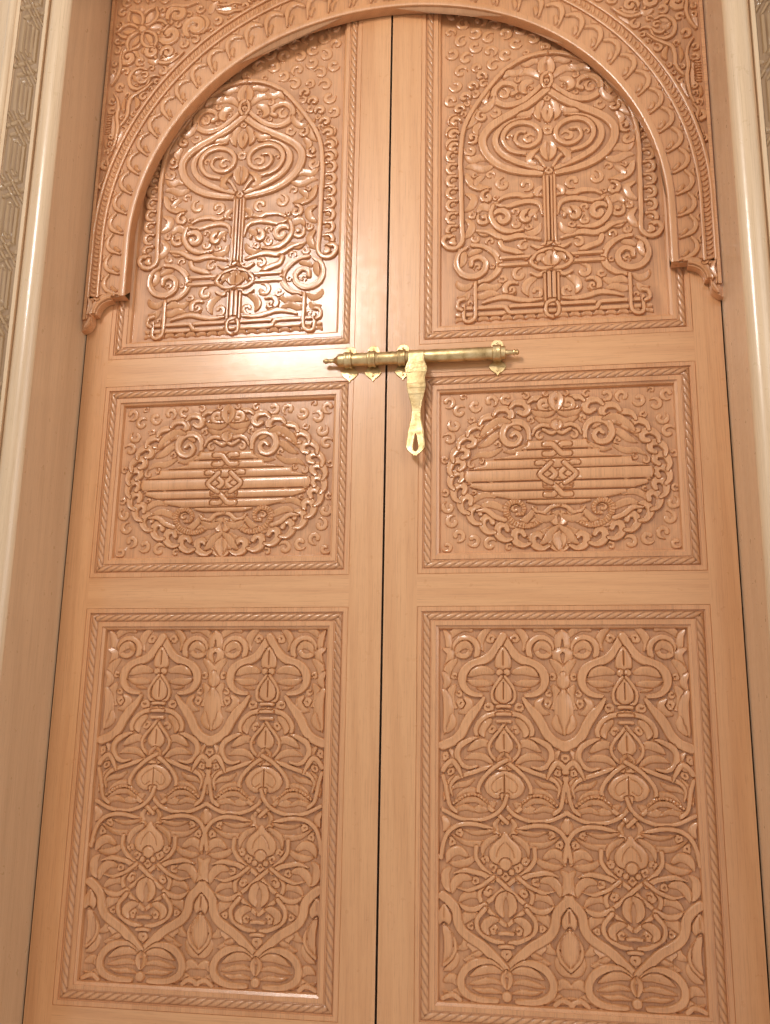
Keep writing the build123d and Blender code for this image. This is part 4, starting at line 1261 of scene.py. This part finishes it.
def spandrel_relief(step):
    """The left spandrel's field, and a test of what lies outside the ring."""
    r = Relief(-606.5, 0, 1600, 2147.5, step, [lambda x, z: (x, z)])
    carver = Carver(r, (5.2, 0.35, 0.1), curl=(0.22, 1.05, 20, 5.4, 0.6))
    carver.rows(SPANDREL)
    for z in range(1800, 1846, 6):
        carver.band([(-603, z), (-592, z + 1)], 1.6, 3.4, 0.6, 0.6, groove=0.6)
    # towards the middle the field narrows: one leafy stem runs on to the crown
    for k, x in enumerate(range(-306, -40, 44)):
        z, odd = 2098 + (x + 306) * 0.105, k % 2
        carver.curl(x + 10, z + (8 if odd else -2), 11, 90 if odd else 250, 1 if odd else -1)
        carver.leaf([(x + 22, z + (2 if odd else 10)), (x + 34, z + 8), (x + 44, z + (12 if odd else 0))], 5)
    # six petals round a boss in the corner
    for turn in range(2, 362, 60):
        c, q = math.cos(math.radians(turn)), math.sin(math.radians(turn))

        def petal(points, *numbers, **kind):
            line = [(ROSETTE[0] + c * u - q * v, ROSETTE[1] + q * u + c * v) for u, v in points]
            carver.band(line, *numbers, **kind)
        petal([(34, 31), (44, 27), (50, 33)], 3.6, 4.6, 0.3, 0.3, form="leaf")
        petal([(18, 0), (30, 2), (44, 0)], 6.5, 4.4, 0.3, 0.1, form="leaf")
        for side in (1, -1):
            petal([(9, 2 * side), (18, 11 * side), (32, 16 * side), (46, 12 * side), (55, 3 * side), (60, 0)],
                  3.6, 5.6, 0.6, 0.5)
    r.disc(ROSETTE, 8, 5.8)
    edge_x, edge_z = arch_line(*SPANDREL_EDGE, 3000)[1][:1500].T

    def outside(x, z, margin=4.0):
        return z > np.interp(x - margin * 0.7, edge_x, edge_z, left=0) + margin
    r.copies = [lambda x, z: (x - BOARD_EDGE, z)]
    r.fill(lambda x, z: outside(x, z) & (x > -603) & (x < -30) & (z < 2144) & (z > 1640), -BOARD_EDGE,
           5.2, 13, 4.2, margin=2.0)
    return r, outside


def carved_sheet(name, relief, keep, side, ground, triangles):
    """A carved field on the arch board: its kept part, closed behind inside the board."""
    X, Z = np.meshgrid(relief.x, relief.z)
    points = points_of(side * -X, FACE - ground - relief.h, Z)
    quads = grid_faces(*X.shape, keep)
    used = np.unique(quads)
    faces = np.searchsorted(used, quads)
    lay_sheet(name, points[used], faces if side < 0 else faces[:, ::-1],
              cavity_of(relief).ravel()[used], ground, triangles)


def carve_spandrels():
    relief, outside = spandrel_relief(STEP)
    relief.h[~outside(*np.meshgrid(relief.x, relief.z), 0.5)] = 0
    for name, side in (("left_spandrel_carving", -1), ("right_spandrel_carving", 1)):
        keep = outside(*np.meshgrid(relief.x, relief.z), -1.5)
        carved_sheet(name, relief, keep, side, SPANDREL_GROUND + 0.2, int(40000 * SHARE))


carve_spandrels()


# The feet: a band round the cove, with leaves that close the ring

COVE_CENTRE, COVE_RADIUS = (556.0, 1389.0), 29.8
TOE_CENTRE, TOE_RADIUS, TOE_EDGE = (615.0, 1378.0), 22.2, 594.8
SOLE_EDGE = 1425.8


def foot_relief(step):
    r = Relief(529, 606.5, 1356, 1432, step, [lambda x, z: (x, z)])

    def arc(radius, start, end):
        turns = np.radians(np.linspace(start, end, 9))
        return [(COVE_CENTRE[0] + radius * math.cos(a), COVE_CENTRE[1] + radius * math.sin(a)) for a in turns]
    r.stroke([(531, 1429), (546, 1430), (558, 1431)], 2.2, 3.6, taper=(0.6, 1))
    r.stroke([(604, 1431), (590, 1429), (572, 1431)], 2.4, 3.6, taper=(0.4, 0.4))
    r.stroke(arc(48.5, 62, -12), 2.2, 4.2, taper=(0.4, 0.6))
    r.stroke(arc(38, 92, 4), 6.6, 4.8, form="dish")
    r.stroke([(596, 1380), (600, 1370), (605, 1362)], 4.5, 4.4, taper=(0.8, 0.5), form="dish")
    r.stroke([(604, 1424), (599, 1412), (601, 1398), (605, 1388)], 4.2, 5.0, taper=(0.3, 0.1), form="leaf")
    r.stroke([(592, 1424), (586, 1420), (580, 1422)], 3.2, 4.2, taper=(0.3, 0.2), form="leaf")
    return r


def on_foot(x, z):
    """The part of the right foot's face that its cove, step and toe leave."""
    from_cove = np.hypot(x - COVE_CENTRE[0], z - COVE_CENTRE[1])
    from_toe = np.hypot(x - TOE_CENTRE[0], z - TOE_CENTRE[1])
    leg = (x > COVE_CENTRE[0]) & (z > COVE_CENTRE[1] + 0.8) & (from_cove > COVE_RADIUS)
    step = (x > TOE_EDGE) & (z > TOE_CENTRE[1])
    return (z > SOLE_EDGE) | leg | step | (z <= TOE_CENTRE[1]) & (from_toe < TOE_RADIUS) & (x > TOE_EDGE)


def carve_feet():
    relief = foot_relief(STEP / 1.6)
    for name, side in (("left_foot_carving", -1), ("right_foot_carving", 1)):
        carved_sheet(name, relief, on_foot(*np.meshgrid(relief.x, relief.z)), -side, RING_FACE + 0.15, 6000)


carve_feet()


# Strapwork in the sunk field of the casing

CASING_FIELD, CASING_HALF, STRAP_PITCH = 186.0, 26.0, 132.0
STRAP_TRIANGLES = 15000
STRAP_STEP = 1.7 * STEP / 1.25


def strap_relief(length, step):
    """Long hexagons chained by crossing knots; x runs across the field, z along the casing."""
    r = Relief(-CASING_HALF, CASING_HALF, 0, length, step, [lambda x, z: (x, z), lambda x, z: (-x, z)])
    count = max(1, int(round(length / STRAP_PITCH)))
    pitch = length / count
    for k in range(-1, count + 1):
        z = k * pitch

        def line(*points, half=4.2, height=3.6):
            for a, b in zip(points, points[1:]):
                r.stroke([(a[0], z + a[1]), ((a[0] + b[0]) / 2, z + (a[1] + b[1]) / 2), (b[0], z + b[1])],
                         half, height, form="strap", groove=1.2)
        line((0, 12), (15, 27), (15, pitch - 27), (0, pitch - 12))
        line((0, -12), (21, 9))
        line((0, 12), (-21, -9))
        line((21, 9), (26, 14))
        line((21, -9), (26, -14))
        line((5, 34), (5, pitch - 34), half=3.2, height=2.8)
        line((5, 34), (0, 29), half=3.2, height=2.8)
        line((5, pitch - 34), (0, pitch - 29), half=3.2, height=2.8)
    return r


def casing_sheet(name, relief, place):
    """Lays the straps in the casing's field; place turns the relief's measures into the door's."""
    X, Z = np.meshgrid(relief.x, relief.z)
    U, V = place(X, Z)
    points = points_of(U, FACE - CASING_FIELD - 0.2 - relief.h, V)
    lay_sheet(name, points, grid_faces(*X.shape), cavity_of(relief), CASING_FIELD + 0.2,
              int(STRAP_TRIANGLES * SHARE), carved_casing)


def strap_casings():
    """The field of each casing; the head's runs between the mitres."""
    centre = sum(corner.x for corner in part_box("left_casing")) / 2 / MM
    head_centre = sum(corner.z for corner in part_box("head_casing")) / 2 / MM
    side = strap_relief(head_centre, STRAP_STEP)
    casing_sheet("left_casing_straps", side, lambda x, z: (centre + x, z - x * z / head_centre))
    casing_sheet("right_casing_straps", side, lambda x, z: (-centre - x, z - x * z / head_centre))
    casing_sheet("head_casing_straps", strap_relief(-2 * centre, STRAP_STEP),
                 lambda x, z: (centre + z + x * (1 - 2 * z / (-2 * centre)), head_centre - x))


strap_casings()


# The bolt: a turned rod, loops on leaf-shaped plates, and a stamped hasp

BOLT_Y, ROD = 16.0, 12.5
BOLT_Z = (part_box("bolt_rod")[0].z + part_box("bolt_rod")[1].z) / 2 / MM
WELD = 5e-6  # metres


def joined(name, parts, body):
    """Closed shells (corners in the door's millimetres, faces) as one brass piece."""
    verts, faces = [], []
    for shell, sides in parts:
        faces += [[i + len(verts) for i in side] for side in sides]
        verts += [(x * MM, (FACE + y) * MM, z * MM) for x, y, z in shell]
    mesh = bpy.data.meshes.new(name)
    mesh.from_pydata(verts, [], faces)
    mesh.materials.append(brass_finish)
    obj = link(bpy.data.objects.new(name, mesh))
    bm = bmesh.new()
    bm.from_mesh(mesh)
    bmesh.ops.remove_doubles(bm, verts=bm.verts[:], dist=WELD)
    bmesh.ops.dissolve_degenerate(bm, edges=bm.edges[:], dist=WELD)
    for face in bm.faces:
        face.smooth = True
    settle(bm, obj, CARVED_EDGE)
    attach(obj, body)
    return obj


def between_rings(count, sides, first=0, closed=False):
    """Quads that join rings of corners, each to the next, and the last to the first where closed."""
    faces = []
    for j in range(count if closed else count - 1):
        a, b = first + j * sides, first + (j + 1) % count * sides
        faces += [(a + i, a + (i + 1) % sides, b + (i + 1) % sides, b + i) for i in range(sides)]
    return faces


def cap(tip, ring, sides):
    """Triangles from one corner to all of a ring."""
    return [(tip, ring + i, ring + (i + 1) % sides) for i in range(sides)]


def turned(profile, sides=44, closed=False):
    """A profile of places along the bolt and radii, turned about the bolt's axis."""
    turns = np.linspace(0, 2 * math.pi, sides, endpoint=False)
    verts = [(x, -BOLT_Y - r * math.cos(t), BOLT_Z + r * math.sin(t)) for x, r in profile for t in turns]
    return verts, between_rings(len(profile), sides, closed=closed)


def dome(x, z, y=-2.5, radius=2.3, height=1.1, sides=14):
    """A nail's head standing on a plate."""
    verts = [(x, y - height, z)]
    for share, rise in ((0.55, 0.85), (0.9, 0.4), (1.0, 0.0), (1.0, -0.5)):
        r = radius * share
        verts += [(x + r * math.cos(t), y - height * rise, z + r * math.sin(t))
                  for t in np.linspace(0, 2 * math.pi, sides, endpoint=False)]
    base = range(1 + 3 * sides, 1 + 4 * sides)
    return verts, between_rings(4, sides, 1) + cap(0, 1, sides) + [base]


def plate_shell(outline, middle, front, bevel):
    """A flat plate on the leaf's face, its front edge eased."""
    points = smooth_line(outline, 1.6, closed=True)[:-1] - middle
    reach = np.maximum(np.hypot(*points.T), 1)[:, None]
    verts, n = [], len(points)
    for inset, y in ((0, -0.05), (0, -front + bevel), (bevel, -front)):
        verts += [(middle[0] + x, y, middle[1] + z) for x, z in points * (1 - inset / reach)]
    verts += [(middle[0], -front, middle[1]), (middle[0], -0.05, middle[1])]
    return verts, between_rings(3, n) + cap(3 * n, 2 * n, n) + cap(3 * n + 1, 0, n)


KEEPER_SIDE = ((0, 32), (7, 30.5), (11, 25), (11.5, 19), (8, 13), (8, -9), (11, -14), (15, -18), (15.5, -23),
               (12, -28), (6, -33), (2.2, -36))
KEEPER_BAND = ((-7.5, ROD + 0.4), (-7.5, 14.6), (-6.6, 15.7), (-3.6, 15.9), (-2.2, 15.1), (2.2, 15.1),
               (3.6, 15.9), (6.6, 15.7), (7.5, 14.6), (7.5, ROD + 0.4))


def make_keeper(node, body):
    """A banded loop on a leaf-shaped plate, held by two nails."""
    x = sum(corner.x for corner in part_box(node)) / 2 / MM
    outline = [(x + dx, BOLT_Z + dz) for dx, dz in KEEPER_SIDE] + [(x, BOLT_Z - 39.5)]
    outline += [(x - dx, BOLT_Z + dz) for dx, dz in KEEPER_SIDE[:0:-1]]
    parts = [plate_shell(outline, (x, BOLT_Z), 2.6, 0.7),
             turned([(x + dx, r) for dx, r in KEEPER_BAND], closed=True),
             dome(x, BOLT_Z + 25), dome(x, BOLT_Z - 29)]
    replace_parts(joined(node + "_forged", parts, body), node)


# The rod's radii, by the distance from its left end, by x in its middle part and from its right end
ROD_LEFT = ((0, 0), (0.6, 1.6), (3, 3.6), (6, 4.8), (9, 4.6), (11.5, 3), (13, 2.9), (14, 4.2), (16, 4.4),
            (17.5, 3.6), (21, 4.4), (25, 6.6), (28, 9.6), (30, 11.6), (32.5, ROD))
ROD_MIDDLE = ((-14, ROD), (-13, 11.9), (-11, 11.9), (-10, ROD), (43.6, ROD), (44.6, 12), (44.6, 10),
              (75.4, 10), (75.4, 12), (76.4, ROD))
ROD_RIGHT = ((27, ROD), (25.5, 11.6), (25, 6.4), (22, 5), (15, 4.2), (12, 4), (11, 5.4), (9, 5.8), (7.5, 4),
             (6.4, 3.8), (5, 5.2), (2.5, 4.6), (0.7, 2.2), (0, 0))


def make_rod():
    left, right = (corner.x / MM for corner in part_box("bolt_rod"))
    profile = [(left + d, r) for d, r in ROD_LEFT] + [*ROD_MIDDLE] + [(right - d, r) for d, r in ROD_RIGHT]
    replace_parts(joined("bolt_rod_turned", [turned(profile)], "bolt"), "bolt_rod")


# By the distance down from the bolt's axis: half widths, the slot's half widths, how far the front stands
HASP_SIDES = ((0, 15), (12, 15), (17, 17.6), (26, 20.8), (34, 19.5), (42, 17), (48, 16.6), (56, 17.6),
              (64, 17.4), (76, 14.5), (90, 11), (107, 8), (122, 9.2), (138, 12.6), (150, 15), (158, 15),
              (166, 16.6), (178, 17.6), (184, 15), (190, 9))
HASP_SLOT = ((151, 0), (154, 1.8), (161, 3.2), (169, 4.6), (176, 5.8), (182, 5.6), (186, 3.8), (188, 0))
HASP_FRONT = ((0, 29.2), (10, 29.0), (60, 25.5), (107, 19.5), (125, 20.5), (160, 24.0))
HASP_TIP, HASP_TIP_FRONT, HASP_THICK = 2.0, 27.6, 3.0
HASP_COLLAR = ((-15.2, 10.2), (-15.2, 12.4), (-14.4, 13.2), (14.4, 13.2), (15.2, 12.4), (15.2, 10.2))


def quads_between(a, b):
    """Quads between two lines of as many corners."""
    return np.stack([a[:-1], a[1:], b[1:], b[:-1]], axis=-1)


def make_hasp():
    """A stamped plate on a collar, bent back at the waist, with a teardrop slot in its head."""
    low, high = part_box("hasp")
    x, length = (low.x + high.x) / 2 / MM, BOLT_Z - low.z / MM
    sides, fronts = [*HASP_SIDES, (length, HASP_TIP)], [*HASP_FRONT, (length, HASP_TIP_FRONT)]
    d = np.unique(np.concatenate([np.arange(0, length, 1.5), [s[0] for s in sides], [s[0] for s in HASP_SLOT]]))
    inner = np.interp(d, *np.array(HASP_SLOT).T, left=0, right=0)
    half = blurred(np.interp(d, *np.array(sides).T)[:, None], 1)
    front = blurred(np.interp(d, *np.array(fronts).T)[:, None], 4)
    open_ = (inner[:-1] > 0) | (inner[1:] > 0)
    d, inner, share = d[:, None], inner[:, None], np.array([0.0, 0.14, 0.3, 0.46, 0.62, 0.78, 0.9, 0.97, 1.0])
    dx = inner + share * (half - inner)
    dent = (0.7 * np.maximum(0, (share - 0.9) / 0.1)
            - 0.22 * (np.sin(dx * 1.15) * np.sin(d * 0.62) > 0.72) * (d > 12) * (d < 96)
            + 0.35 * np.exp(-((dx - 0.78 * half) / 0.9) ** 2) * (d > 14) * (d < 100))
    verts, faces = [], []
    for hand in (1, -1):
        fore = np.arange(dx.size).reshape(dx.shape) + 2 * dx.size * (hand < 0)
        back = fore + dx.size
        for depth in (dent - front, HASP_THICK - front):
            grid = np.stack([x + hand * dx, np.broadcast_to(depth, dx.shape), BOLT_Z - d + 0 * dx], axis=-1)
            verts += grid.reshape(-1, 3).tolist()
        faces += [grid_faces(*dx.shape) + fore[0, 0], grid_faces(*dx.shape) + back[0, 0],
                  quads_between(fore[:, -1], back[:, -1]), quads_between(fore[:, 0], back[:, 0])[open_],
                  quads_between(fore[0], back[0]), quads_between(fore[-1], back[-1])]
    collar = turned([(x + dx, r) for dx, r in HASP_COLLAR], closed=True)
    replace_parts(joined("hasp_stamped", [(verts, np.vstack(faces).tolist()), collar], "hasp"), "hasp")


make_rod()
make_hasp()
for keeper in ("left_outer_keeper", "left_inner_keeper", "right_inner_keeper", "right_outer_keeper"):
    make_keeper(keeper, keeper.split("_")[0] + "_leaf")
